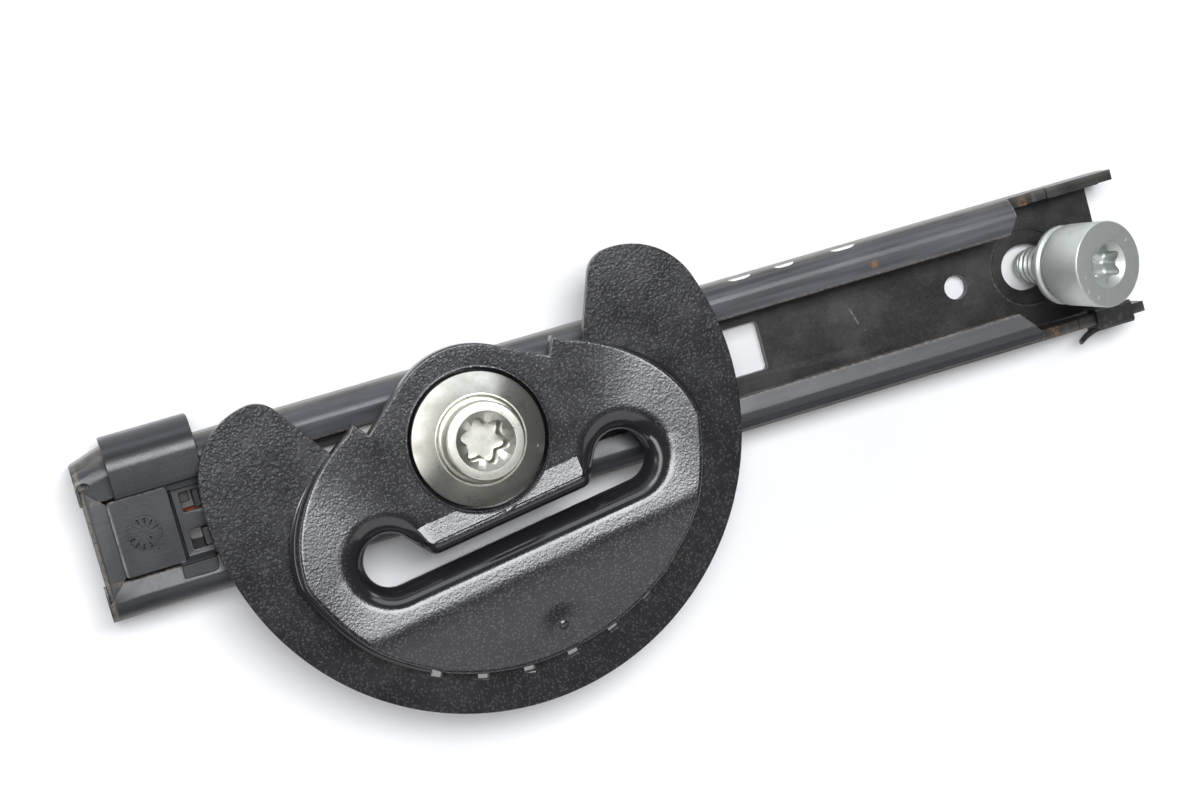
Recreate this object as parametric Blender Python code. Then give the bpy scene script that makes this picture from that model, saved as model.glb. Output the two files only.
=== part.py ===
"""Seat belt height adjuster: a pressed steel rail with a sliding, lockable carriage that
carries a swivelling belt guide. Millimetres here, metres in the scene.

X runs along the rail, Z up from its back face. X positions are measured from the pivot
bolt's axis; the whole object hangs on one empty that puts the origin on the flat land of
the rail's back, between the last lock window and the locating hole.
"""

import math

import bmesh
import bpy
from mathutils import Matrix, Vector

MM = 0.001
GAP = 0.3                      # clearance between neighbouring pieces

# Rail: a channel pressed from sheet, both flanges rolled inward
SHEET = 2.0
RAIL_WIDTH = 28.1
RAIL_HEIGHT = 12.4
RAIL_OPENING = 14.5            # between the two flanges
RAIL_LEFT = -69.3
END_CORNER = 1.2               # plan radius of the closed end's two corners
END_LIP = 4.3                  # how far the flange reaches in at the closed end
LIP_DROP = 0.75                # the flange's inner edge sits a little lower
LIP_SLOPE = 1.6
FLANGE_RIGHT = 111.2           # the flanges stop here, the walls go on as ears
BASE_RIGHT = 130.2
EAR_RIGHT = 133.2
EAR_HEIGHT = 8.8
EAR_NOTCH = (115.2, 119.6)     # shallow relief in both ears' top edges
EAR_NOTCH_DEPTH = 0.5
FLANGE_CHAMFER_UPPER = (2.0, 3.4)   # along the rail, then across it
FLANGE_CHAMFER_LOWER = (4.2, 5.2)
BEND_LOW = 2.6                 # outer radii of the pressed bends
BEND_TOP = 4.4
END_FLARE = 2.0                # the wall swells outward under the clip
FLARE_START = 6.0              # length of its rise from the closed end
FLARE_FALL = 8.0
FLARE_END = -49.0
LAND_X = 80.0                  # flat land between the last window and the locating hole

# Row of lock windows through the base
WINDOW_LENGTH = 8.0
WINDOW_WIDTH = 9.4
WINDOW_PITCH = 13.0
WINDOW_COUNT = 9
LAST_WINDOW_END = 59.8
LOCATING_HOLE_X = 99.8
LOCATING_HOLE_R = 2.35
MOUNT_HOLE_X = 114.0
MOUNT_HOLE_R = 4.4
MOUNT_HOLE_STRETCH = 0.8
MOUNT_SEAT_R = 7.3
MOUNT_SEAT_DEPTH = 0.3

# End cap of moulded plastic, clipped over the upper flange
CAP_LEFT = -65.0
CAP_STEP = -54.1               # groove between the raised plate and the window end
CAP_RIGHT = -46.6
CAP_SKIN = 1.5
CLIP_LEFT = -63.2
CLIP_RIGHT = -47.3
CLIP_DROP = 3.6                # how low the clip's outer leg reaches
TONGUE_WIDTH = 2.9
TONGUE_SKIN = 0.8
ARM_RIGHT = -17.0              # long arm along the flange's inner edge
ARM_WIDTH = 2.2
ARM_SKIN = 0.9
PLATE_LIFT = 0.8
CAP_WINDOW_LENGTH = 3.4
CAP_WINDOW_UPPER = (0.9, 4.7)
CAP_WINDOW_LOWER = (-6.0, -2.1)
BUFFER_LENGTH = 6.6
BUFFER_WIDTH = 2.8

# Carriage that slides in the channel
PLATE_LEFT = -17.0
PLATE_RIGHT = 34.0
PLATE_SIDE = 1.55              # clearance to the channel's walls
PLATE_WIDTH = RAIL_WIDTH - 2 * (SHEET + PLATE_SIDE)
PLATE_Z = 4.2
PLATE_THICKNESS = 2.8
SHOE_LENGTH = 7.0
SHOE_OVERHANG = 3.0
CARRIAGE_EAR = 1.2
PIN_HEAD_ROOM = 1.15           # between an ear and the flange, for the lever pin's head
EAR_GAP = RAIL_OPENING - 2 * (CARRIAGE_EAR + PIN_HEAD_ROOM)
LEVER_PIN_X = 27.0
LEVER_PIN_Z = 9.7
LEVER_PIN_R = 1.0

# Lock pin, its spring and the lever that lifts it
LOCK_X = 16.8
LOCK_R = 3.5
LOCK_TIP_CLEAR = 0.35          # above the base when lifted
LOCK_HEAD_R = 5.0
LOCK_HEAD = 0.9
LOCK_HEAD_Z = 11.6
LOCK_BORE_R = 2.3
SPRING_R = 1.7
SPRING_WIRE = 0.35
SPRING_TURNS = 6
BRIDGE_LENGTH = 9.0
BRIDGE_SHEET = 0.9
BRIDGE_TOP = 14.3
LEVER_SHEET = 0.8
LEVER_PAD = 0.9                # pads that stand up from the fork and meet the collar
LEVER_REACH = 1.8              # how far the fork goes past the lock pin's centre
LEVER_RIGHT = 37.0
LEVER_TAB = 1.4

# Pivot: nut, spacer, bush, wave washer and shouldered bolt
NUT_R = 6.9
NUT_TOP = 13.75
NUT_FLANGE_R = 8.6
NUT_FLANGE = 1.2
THREAD_R = 5.3
SPACER_R = 10.5
SPACER = 0.6
SHOULDER_R = 7.0
BUSH_WALL = 0.9
BUSH_FLANGE_R = 11.4
BUSH_FLANGE = 0.55
WAVE_R = (8.2, 11.2)
WAVE_SHEET = 0.25
WAVE_HEIGHT = 0.12
CONE_R = 12.0
CONE_RIM = 0.7
CONE_TOP_R = 7.7
CONE_HEIGHT = 3.8
HEAD_R = 6.9
HEAD_HEIGHT = 8.0              # head's top above the cone's rim
RECESS_R = 4.4                 # six-lobe drive recess, tip to centre
RECESS_DEPTH = 4.5

# Belt guide, symmetric about its own Y axis; it has swung a little about the pivot
GUIDE_SWING = 7.6
GUIDE_HOLE_R = 12.6
GUIDE_WEB_R = 8.5
GUIDE_FOOT_Z = 17.1
GUIDE_FACE_Z = 20.2
GUIDE_CREST_Z = 23.6
GUIDE_HALF = 38.3              # half width at the rim
GUIDE_WAIST = 12.0             # where it is widest, below the pivot
GUIDE_LOWER_R = 42.5           # the foot's lower edge, about the pivot
GUIDE_WALL = 2.4
RIM_ROLL = 1.6                 # radius of the rim's upper edge
FOOT_LIP = 1.2                 # the foot stands out this far from the wall
FOOT_RISE = 1.1                # from its underside to its upper edge
RAMP = 0.15                    # slope of the face towards both ends and the crest
RAMP_START = 21.4              # its foot line, out from the pivot
RAMP_TURN = 35.5               # direction of the rise, in degrees below the side
CREST_V = 25.0                 # crest line, below the pivot
DOME_SLOPE = 0.06
DOME_BEND = 0.0105
SKIRT_GAP = 35.0               # the foot is left out for this angle each side of the bottom
SKIRT_STEP = 0.8
BOSS_R = 15.4
BOSS_CENTRE = 1.65             # boss arc's centre, above the pivot
BOSS_ANGLE = 33.5
NOTCH_U = 17.5
TIP_U = 19.4
TIP_RISE = 2.8
SHOULDER_RISE = 26.0
SLOT_HALF = 22.6
SLOT_CENTRE = 13.5
SLOT_END_R = 4.8
SLOT_TOP = 16.0                # lip above the webbing gap
SLOT_BOTTOM = SLOT_CENTRE + SLOT_END_R
LIP_HALF = 17.3
DIMPLE_U = 0.9
DIMPLE_V = 35.8
DIMPLE_R = 4.5
DIMPLE_DEPTH = 0.6

# Shield plate under the guide
SHIELD_R = 49.3
SHIELD_Z = 14.95
SHIELD_SHEET = 1.8
LOBE_INSET = 10.7              # centre of the lobe's tip, inside the shield's radius
LOBE_ANGLE = 25.3              # its direction from the pivot, in degrees above the side
LOBE_TIP_R = 5.0
LOBE_SIDE = 28.0               # lean of the lobe's straight side, in degrees
LOBE_SIDE_LENGTH = 12.4
SHIELD_WINDOWS = 5
SHIELD_WINDOW_IN = 1.4         # from the guide's lower edge inward, then outward
SHIELD_WINDOW_OUT = 0.9
SHIELD_WINDOW = 2.1
SHIELD_WINDOW_PITCH = 11.4     # degrees
SHIELD_WINDOW_TURN = 1.5       # the row sits a little to the right
MOUTH_SIDE = 3.2               # opening behind the slot: how far it clears the slot's edges
MOUTH_UP = 2.2
MOUTH_DOWN = 5.9
SHIELD_MOUTH_R = 6.0

# Mounting bolt, standing loose and leaning in its hole
BOLT_LEAN = 19.3
BOLT_LEAN_DIRECTION = -16.2
BOLT_TIP = (114.8, 0.2, 1.0)
BOLT_THREAD_R = 3.7
BOLT_THREAD = 10.4
BOLT_HEAD_R = 8.05
BOLT_HEAD = 10.4
COLLAR_R = 7.5
COLLAR = 1.6

# Plastic keeper pushed over the lower ear beside the bolt
KEEPER_X = 126.6
KEEPER_LENGTH = 7.4
KEEPER_SKIN = 0.8
KEEPER_DROP = 5.2


def material(name, colour, roughness, metallic=0.0):
    mat = bpy.data.materials.new(name)
    mat.use_nodes = True
    shader = mat.node_tree.nodes["Principled BSDF"]
    shader.inputs["Base Color"].default_value = (*colour, 1.0)
    shader.inputs["Roughness"].default_value = roughness
    shader.inputs["Metallic"].default_value = metallic
    return mat


def empty(name, parent=None, at=(0, 0, 0), turn=0.0):
    obj = bpy.data.objects.new(name, None)
    bpy.context.scene.collection.objects.link(obj)
    obj.parent = parent
    obj.location = Vector(at) * MM
    obj.rotation_euler.z = math.radians(turn)
    return obj


def mesh_object(name, bm, parent, mat=None, at=(0, 0, 0)):
    """Makes an object of a bmesh drawn in millimetres, with its origin at `at` in its parent."""
    bmesh.ops.remove_doubles(bm, verts=bm.verts, dist=1e-5)
    bmesh.ops.recalc_face_normals(bm, faces=bm.faces)
    bmesh.ops.scale(bm, vec=(MM, MM, MM), verts=bm.verts)
    mesh = bpy.data.meshes.new(name)
    bm.to_mesh(mesh)
    bm.free()
    mesh.shade_smooth()
    mesh.set_sharp_from_angle(angle=math.radians(35))
    obj = bpy.data.objects.new(name, mesh)
    bpy.context.scene.collection.objects.link(obj)
    obj.parent = parent
    obj.location = Vector(at) * MM
    if mat:
        mesh.materials.append(mat)
    return obj


def tool(name, bm, parent, at=(0, 0, 0)):
    """A body used only by a Boolean."""
    obj = mesh_object(name, bm, parent, None, at)
    obj.hide_render = True
    obj.display_type = "WIRE"
    return obj


def boolean(obj, other, operation):
    mod = obj.modifiers.new(other.name, "BOOLEAN")
    mod.operation = operation
    mod.object = other
    return obj


def cut(obj, other):
    return boolean(obj, other, "DIFFERENCE")


def unite(obj, other):
    return boolean(obj, other, "UNION")


def loft(rings, closed=False):
    """A closed skin through rings of equal point counts, with flat ends."""
    bm = bmesh.new()
    loops = [[bm.verts.new(p) for p in ring] for ring in rings]
    count = len(loops[0])
    pairs = list(zip(loops, loops[1:]))
    if closed:
        pairs.append((loops[-1], loops[0]))
    for a, b in pairs:
        for i in range(count):
            j = (i + 1) % count
            bm.faces.new((a[i], a[j], b[j], b[i]))
    if not closed:
        bm.faces.new(loops[0])
        bm.faces.new(loops[-1])
    return bm


def prism(outline, z0, z1):
    """An outline in XY drawn up from z0 to z1."""
    return loft([[(x, y, z) for x, y in outline] for z in (z0, z1)])


def box(x, y, z):
    """A box between pairs of limits."""
    return prism([(x[0], y[0]), (x[1], y[0]), (x[1], y[1]), (x[0], y[1])], *z)


def arc(centre, radius, start, end, steps):
    """Points of an arc, angles in degrees."""
    points = []
    for i in range(steps + 1):
        a = math.radians(start + (end - start) * i / steps)
        points.append((centre[0] + radius * math.cos(a), centre[1] + radius * math.sin(a)))
    return points


def rounded_rectangle(x, y, radius, steps=4):
    corners = ((x[1], y[1], 0), (x[0], y[1], 90), (x[0], y[0], 180), (x[1], y[0], 270))
    points = []
    for cx, cy, start in corners:
        sx = radius if cx == x[0] else -radius
        sy = radius if cy == y[0] else -radius
        points += arc((cx + sx, cy + sy), radius, start, start + 90, steps)
    return points


def turned(profile, steps=40):
    """A profile of (radius, z) turned about Z. It is closed: its ends are joined."""
    rings = []
    for i in range(steps):
        a = 2 * math.pi * i / steps
        rings.append([(r * math.cos(a), r * math.sin(a), z) for r, z in profile])
    return loft(rings, closed=True)


def turned_solid(profile, steps=40):
    """As turned, for a profile that starts and ends on the axis."""
    bm = turned(profile, steps)
    bmesh.ops.remove_doubles(bm, verts=bm.verts, dist=1e-5)
    bmesh.ops.dissolve_degenerate(bm, edges=bm.edges, dist=1e-5)
    return bm


def smooth_step(x):
    x = min(1.0, max(0.0, x))
    return x * x * (3 - 2 * x)


def lobed_outline(radius, steps=42):
    """Outline of a six-lobe recess."""
    points = []
    for i in range(steps):
        a = 2 * math.pi * i / steps
        r = radius * (0.865 + 0.135 * math.cos(6 * a))
        points.append((r * math.cos(a), r * math.sin(a)))
    return points


def clear_scene():
    for obj in list(bpy.data.objects):
        bpy.data.objects.remove(obj, do_unlink=True)


# rail
def rail_flare(x):
    """How far the upper wall swells outward near the closed end."""
    rise = smooth_step((x - RAIL_LEFT) / FLARE_START)
    fall = smooth_step((FLARE_END - x) / FLARE_FALL)
    return END_FLARE * (0.35 + 0.65 * rise) * fall


def edge_section():
    """Section of the pressed edge as (inward, z): from under the base, out round the wall and
    the rolled flange to its lip, then back along the inside to the base's top."""
    reach = (RAIL_WIDTH - RAIL_OPENING) / 2
    low = (BEND_LOW, BEND_LOW)
    bend = min(BEND_TOP, reach - LIP_SLOPE)
    high = (bend, RAIL_HEIGHT - bend)
    lip = RAIL_HEIGHT - LIP_DROP
    outside = arc(low, BEND_LOW, 270, 180, 4) + arc(high, bend, 180, 90, 6)
    inside = arc(high, bend - SHEET, 90, 180, 5) + arc(low, BEND_LOW - SHEET, 180, 270, 3)
    return outside + [(reach, lip), (reach, lip - SHEET)] + inside


def rail_stations():
    """X positions along a side, from the ears to the closed end's corner."""
    count = 6
    swell = [FLARE_END - FLARE_FALL * i / count for i in range(count + 1)]
    return [EAR_RIGHT] + swell + [RAIL_LEFT + FLARE_START]


def edge_point(x, turn, side, inward, z):
    """A point of the edge: on a side at x, or turned round a corner of the closed end, where the
    flange beyond the corner's centre is folded along a mitre."""
    reach = (RAIL_WIDTH - RAIL_OPENING) / 2
    half = RAIL_WIDTH / 2
    if turn is not None:
        along, across = RAIL_LEFT + END_CORNER, half - END_CORNER
        if inward <= END_CORNER:
            a = math.radians(turn)
            x = along + (END_CORNER - inward) * math.cos(a)
            y = across + (END_CORNER - inward) * math.sin(a)
        else:
            share = (inward - END_CORNER) / (reach - END_CORNER)
            x = along + (END_LIP - END_CORNER) * share
            y = across + (half - reach - across) * share
    else:
        y = half - inward
    if side > 0:
        y += rail_flare(x) * max(0.0, y - RAIL_OPENING / 2) / reach
    return (x, side * y, z)


def make_rail(parent, mat):
    section = edge_section()
    corner = [90 + 90 * i / 5 for i in range(6)]
    upper = [(x, None) for x in rail_stations()] + [(0, turn) for turn in corner]
    path = [(x, turn, 1) for x, turn in upper] + [(x, turn, -1) for x, turn in reversed(upper)]
    bm = bmesh.new()
    rows = [[bm.verts.new(edge_point(x, turn, side, d, z)) for d, z in section] for x, turn, side in path]
    for a, b in zip(rows, rows[1:]):
        for i in range(len(section) - 1):
            bm.faces.new((a[i], a[i + 1], b[i + 1], b[i]))
    bm.faces.new([row[0] for row in rows])
    bm.faces.new([row[-1] for row in rows])
    bm.faces.new(rows[0] + rows[-1][::-1])
    rail = mesh_object("rail", bm, parent, mat)

    far, wide, lip = EAR_RIGHT + 5, RAIL_WIDTH, RAIL_OPENING / 2
    (upper_x, upper_y), (lower_x, lower_y) = FLANGE_CHAMFER_UPPER, FLANGE_CHAMFER_LOWER
    above_ears = [(FLANGE_RIGHT, wide), (FLANGE_RIGHT, lip + upper_y), (FLANGE_RIGHT - upper_x, lip),
                  (FLANGE_RIGHT - lower_x, -lip), (FLANGE_RIGHT, -lip - lower_y), (FLANGE_RIGHT, -wide),
                  (far, -wide), (far, wide)]
    cut(rail, tool("flange_end", prism(above_ears, EAR_HEIGHT, RAIL_HEIGHT + 2), parent))
    notch = box(EAR_NOTCH, (-wide, wide), (EAR_HEIGHT - EAR_NOTCH_DEPTH, RAIL_HEIGHT + 3))
    cut(rail, tool("ear_notches", notch, parent))
    within = RAIL_WIDTH / 2 - SHEET
    between = [(BASE_RIGHT, -within), (far, -within), (far, within), (BASE_RIGHT, within)]
    cut(rail, tool("base_end", prism(between, -1, RAIL_HEIGHT + 1), parent))

    openings = bmesh.new()
    for i in range(WINDOW_COUNT):
        right = LAST_WINDOW_END - i * WINDOW_PITCH
        x = (right - WINDOW_LENGTH, right)
        hole = prism(rounded_rectangle(x, (-WINDOW_WIDTH / 2, WINDOW_WIDTH / 2), 0.8, 2), -1, SHEET + 1)
        add(openings, hole)
    add(openings, prism(arc((LOCATING_HOLE_X, 0), LOCATING_HOLE_R, 0, 345, 23), -1, SHEET + 1))
    stretch = MOUNT_HOLE_STRETCH
    oblong = arc((MOUNT_HOLE_X + stretch, 0), MOUNT_HOLE_R, -90, 90, 16)
    oblong += arc((MOUNT_HOLE_X, 0), MOUNT_HOLE_R, 90, 270, 16)
    add(openings, prism(oblong, -1, SHEET + 1))
    cut(rail, tool("base_openings", openings, parent))
    seat = arc((MOUNT_HOLE_X + stretch, 0), MOUNT_SEAT_R, 0, 350, 35)
    cut(rail, tool("mount_seat", prism(seat, SHEET - MOUNT_SEAT_DEPTH, SHEET + 1), parent))
    return rail


def add(bm, other):
    """Adds another bmesh's faces to bm."""
    verts = {v: bm.verts.new(v.co) for v in other.verts}
    for face in other.faces:
        bm.faces.new([verts[v] for v in face.verts])
    other.free()
    return bm


# end cap
def make_end_cap(parent, mat):
    half = RAIL_WIDTH / 2
    lip = RAIL_OPENING / 2
    top = RAIL_HEIGHT + GAP
    inside = lip - GAP
    skin_top = top + CAP_SKIN
    outside = half + END_FLARE + GAP
    # Clip: one section drawn along the rail, over the upper flange and down outside its wall
    high = BEND_TOP
    section = [(inside, top - 2.6), (inside, top)]
    section += list(reversed(arc((outside - high, top - high), high, 0, 90, 6)))
    section += [(outside, CLIP_DROP), (outside + CAP_SKIN, CLIP_DROP)]
    section += arc((outside - high, top - high), high + CAP_SKIN, 0, 90, 6)
    section += [(inside - 1.2, skin_top), (inside - 1.2, top - 2.6)]
    rings = [[(x, y, z) for y, z in section] for x in (CLIP_LEFT, CLIP_RIGHT)]
    cap = mesh_object("end_cap", loft(rings), parent, mat)

    # Panel across the channel's mouth, with the raised plate at its closed end
    panel_top = RAIL_HEIGHT - 0.9
    panel = rounded_rectangle((CAP_LEFT + GAP, CAP_RIGHT), (-inside, inside - 0.6), 0.8)
    unite(cap, tool("cap_panel", prism(panel, panel_top - CAP_SKIN - 0.4, panel_top), parent))
    plate = rounded_rectangle((CAP_LEFT + GAP + 0.2, CAP_STEP), (-inside + 0.2, inside - 0.3), 1.0)
    unite(cap, tool("cap_plate", prism(plate, panel_top - 1.0, panel_top + PLATE_LIFT), parent))
    # Tongue over the lower flange
    tongue = rounded_rectangle((CAP_LEFT - 0.6, CAP_RIGHT - 2.4), (-lip - TONGUE_WIDTH, -lip + 1.4), 0.9)
    unite(cap, tool("cap_tongue", prism(tongue, top, top + TONGUE_SKIN), parent))
    neck = box((CAP_STEP - 6, CAP_RIGHT - 3), (-inside, -inside + 1.0), (panel_top - 1, top + 0.4))
    unite(cap, tool("cap_neck", neck, parent))
    # Arm along the upper flange's inner edge
    low = top + 0.05
    arm = box((CLIP_RIGHT - 2, ARM_RIGHT), (lip + 0.2, lip + 0.2 + ARM_WIDTH), (low, low + ARM_SKIN))
    unite(cap, tool("cap_arm", arm, parent))

    windows = bmesh.new()
    left = CAP_STEP + 1.8
    for low, high in (CAP_WINDOW_UPPER, CAP_WINDOW_LOWER):
        add(windows, box((left, left + CAP_WINDOW_LENGTH), (low, high), (0, RAIL_HEIGHT)))
    cut(cap, tool("cap_windows", windows, parent))
    groove = (CAP_STEP + 0.05, CAP_STEP + 0.55)
    groove = box(groove, (-inside + 0.4, inside - 0.8), (panel_top - 0.4, panel_top + 1))
    cut(cap, tool("cap_groove", groove, parent))
    return cap


def make_buffer(parent, mat):
    left = CAP_STEP + 1.6
    bar = (CAP_WINDOW_UPPER[0] + CAP_WINDOW_LOWER[1]) / 2
    top = RAIL_HEIGHT - 0.9 - CAP_SKIN - 0.4 - GAP
    y = (bar - BUFFER_WIDTH / 2, bar + BUFFER_WIDTH / 2 + 0.6)
    body = rounded_rectangle((left, left + BUFFER_LENGTH), y, 0.6, 3)
    return mesh_object("end_buffer", prism(body, SHEET + GAP, top), parent, mat)


# carriage
def make_carriage(parent, mat):
    top = PLATE_Z + PLATE_THICKNESS
    body = rounded_rectangle((PLATE_LEFT, PLATE_RIGHT), (-PLATE_WIDTH / 2, PLATE_WIDTH / 2), 1.5)
    carriage = mesh_object("carriage_plate", prism(body, PLATE_Z, top), parent, mat)
    radius = 2.6
    side = arc((LEVER_PIN_X, LEVER_PIN_Z), radius, 0, 180, 10)
    side = [(LEVER_PIN_X + radius, top - 1)] + side + [(LEVER_PIN_X - radius, top - 1)]
    for name, y in (("ear_upper", EAR_GAP / 2), ("ear_lower", -EAR_GAP / 2 - CARRIAGE_EAR)):
        rings = [[(x, yy, z) for x, z in side] for yy in (y, y + CARRIAGE_EAR)]
        unite(carriage, tool(name, loft(rings), parent))
    holes = prism(arc((0, 0), NUT_R + GAP, 0, 350, 35), PLATE_Z - 1, top + 1)
    add(holes, prism(arc((LOCK_X, 0), LOCK_R + GAP, 0, 350, 35), PLATE_Z - 1, top + 1))
    cut(carriage, tool("carriage_holes", holes, parent))
    bore = [[(LEVER_PIN_X + dx, y, LEVER_PIN_Z + dz)
             for dx, dz in arc((0, 0), LEVER_PIN_R + 0.1, 0, 345, 23)] for y in (-9, 9)]
    cut(carriage, tool("lever_pin_bore", loft(bore), parent))
    return carriage


def make_shoe(name, outer_x, inner_x, parent, mat):
    """Plastic shoe over one end of the carriage plate, running on the base, walls and flanges."""
    side = RAIL_WIDTH / 2 - SHEET - GAP
    x = (min(outer_x, inner_x), max(outer_x, inner_x))
    z = (SHEET + GAP, RAIL_HEIGHT - SHEET - 1.2 - GAP)
    section = rounded_rectangle((-side, side), z, 1.4, 4)
    shoe = mesh_object(name, loft([[(xx, y, zz) for y, zz in section] for xx in x]), parent, mat)
    toward = 1 if inner_x > outer_x else -1
    end = outer_x + toward * SHOE_OVERHANG - toward * GAP
    px = sorted((end, inner_x + toward * 2))
    grip = PLATE_WIDTH / 2 + GAP
    pocket = box(px, (-grip, grip), (PLATE_Z - GAP, PLATE_Z + PLATE_THICKNESS + GAP))
    return cut(shoe, tool(name + "_pocket", pocket, parent))


def make_lock_pin(parent, mat):
    """Hollow pin: its tip drops into a window, its collar is lifted by the lever's fork."""
    tip = SHEET + LOCK_TIP_CLEAR
    top = LOCK_HEAD_Z + LOCK_HEAD
    profile = [(0, tip), (LOCK_R - 0.7, tip), (LOCK_R, tip + 0.7), (LOCK_R, LOCK_HEAD_Z),
               (LOCK_HEAD_R, LOCK_HEAD_Z), (LOCK_HEAD_R, top), (LOCK_BORE_R, top),
               (LOCK_BORE_R, tip + 2.4), (0, tip + 2.4)]
    return mesh_object("lock_pin", turned_solid(profile, 30), parent, mat, (LOCK_X, 0, 0))


def make_spring(parent, mat):
    """Coil in the pin's bore, closed at both ends by near-flat turns."""
    low = SHEET + LOCK_TIP_CLEAR + 2.4 + GAP + SPRING_WIRE
    high = BRIDGE_TOP - BRIDGE_SHEET - GAP - SPRING_WIRE
    steps, sides = SPRING_TURNS * 12, 6
    rings = []
    for i in range(steps + 1):
        t = i / steps
        a = 2 * math.pi * SPRING_TURNS * t
        rise = smooth_step(t) * 0.35 + t * 0.65
        centre = Vector((SPRING_R * math.cos(a), SPRING_R * math.sin(a), low + (high - low) * rise))
        out = Vector((math.cos(a), math.sin(a), 0))
        rings.append([centre + SPRING_WIRE * (math.cos(b) * out + math.sin(b) * Vector((0, 0, 1)))
                      for b in (2 * math.pi * k / sides for k in range(sides))])
    return mesh_object("lock_spring", loft(rings), parent, mat, (LOCK_X, 0, 0))


def make_bridge(parent, mat):
    """Strap over the lock pin that its spring pushes against."""
    foot = PLATE_Z + PLATE_THICKNESS + GAP
    half = RAIL_OPENING / 2 - 2 * GAP
    inner = half - BRIDGE_SHEET
    top = BRIDGE_TOP
    outer_arc = arc((half - 1.4, top - 1.4), 1.4, 0, 90, 4)
    inner_arc = arc((half - 1.4, top - 1.4), 1.4 - BRIDGE_SHEET, 0, 90, 4)
    side = [(half, foot)] + outer_arc
    back = [(inner, foot)] + inner_arc
    section = side + [(-y, z) for y, z in reversed(side)] + [(-y, z) for y, z in back] + list(reversed(back))
    x = (LOCK_X - BRIDGE_LENGTH / 2, LOCK_X + BRIDGE_LENGTH / 2)
    return mesh_object("spring_bridge", loft([[(xx, y, z) for y, z in section] for xx in x]), parent, mat)


def make_lever(parent, mat):
    """Release lever: barrel on its pin, forked arm under the pin's collar, turned-up thumb tab."""
    half = EAR_GAP / 2 - GAP
    radius = LEVER_PIN_R + 0.9
    at = (LEVER_PIN_X, 0, LEVER_PIN_Z)
    ring = arc((0, 0), radius, 0, 345, 23)
    lever = mesh_object("release_lever", loft([[(x, y, z) for x, z in ring] for y in (-half, half)]),
                        parent, mat, at)
    pad_top = LOCK_HEAD_Z - GAP - LEVER_PIN_Z
    fork_top = pad_top - LEVER_PAD
    reach = LOCK_X - LEVER_PIN_X
    inner = LOCK_R + GAP
    left = reach - LEVER_REACH
    fork = box((left, -0.4), (-half, half), (fork_top - LEVER_SHEET, fork_top))
    unite(lever, tool("lever_fork", fork, parent, at))
    right = LEVER_RIGHT - LEVER_PIN_X
    tab = fork_top + 0.3
    side = [(0.4, tab - LEVER_SHEET), (right, tab - LEVER_SHEET), (right, tab + LEVER_TAB),
            (right - LEVER_SHEET, tab + LEVER_TAB), (right - LEVER_SHEET, tab), (0.4, tab)]
    wide = half - 0.4
    unite(lever, tool("lever_tab", loft([[(x, y, z) for x, z in side] for y in (-wide, wide)]), parent, at))
    gap = arc((reach, 0), inner, 90, -90, 14)
    gap = [(left - 2, inner)] + gap + [(left - 2, -inner)]
    cut(lever, tool("fork_gap", prism(gap, -3, 4), parent, at))
    pads = bmesh.new()
    for side in (-1, 1):
        y = sorted((side * (inner + 0.15), side * (half - 0.15)))
        add(pads, box((reach - 0.9, reach + 0.9), y, (fork_top - 0.3, pad_top)))
    unite(lever, tool("lever_pads", pads, parent, at))
    bore = arc((0, 0), LEVER_PIN_R + 0.15, 0, 345, 23)
    bore = loft([[(x, y, z) for x, z in bore] for y in (-half - 2, half + 2)])
    cut(lever, tool("lever_bore", bore, parent, at))
    return lever


def make_lever_pin(parent, mat):
    half = EAR_GAP / 2 + CARRIAGE_EAR + GAP
    shank = LEVER_PIN_R - 0.1
    profile = [(0, -half), (shank, -half), (shank, half), (shank + 0.8, half), (shank + 0.8, half + 0.5),
               (0, half + 0.5)]
    bm = turned_solid(profile, 24)
    bmesh.ops.rotate(bm, verts=bm.verts, matrix=Matrix.Rotation(math.radians(-90), 3, "X"))
    return mesh_object("lever_pin", bm, parent, mat, (LEVER_PIN_X, 0, LEVER_PIN_Z))


# pivot
def make_nut(parent, mat):
    low = PLATE_Z - GAP
    bore = THREAD_R + GAP
    profile = [(bore, low - NUT_FLANGE), (NUT_FLANGE_R, low - NUT_FLANGE), (NUT_FLANGE_R, low),
               (NUT_R, low), (NUT_R, NUT_TOP - 0.4), (NUT_R - 0.4, NUT_TOP), (bore, NUT_TOP)]
    return mesh_object("pivot_nut", turned(profile), parent, mat)


def spacer_z():
    return NUT_TOP + GAP, NUT_TOP + GAP + SPACER


def make_spacer(parent, mat):
    low, high = spacer_z()
    profile = [(THREAD_R + 0.5, low), (SPACER_R, low), (SPACER_R, high), (THREAD_R + 0.5, high)]
    return mesh_object("spacer_washer", turned(profile), parent, mat)


def bush_top():
    return GUIDE_FACE_Z - CONE_RIM - 1.1


def make_bush(parent, mat):
    low = spacer_z()[1] + GAP
    top = bush_top()
    inner = SHOULDER_R + GAP
    outer = inner + BUSH_WALL
    profile = [(inner, low), (outer, low), (outer, top - BUSH_FLANGE), (BUSH_FLANGE_R, top - BUSH_FLANGE),
               (BUSH_FLANGE_R, top), (inner, top)]
    return mesh_object("pivot_bush", turned(profile), parent, mat)


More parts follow.
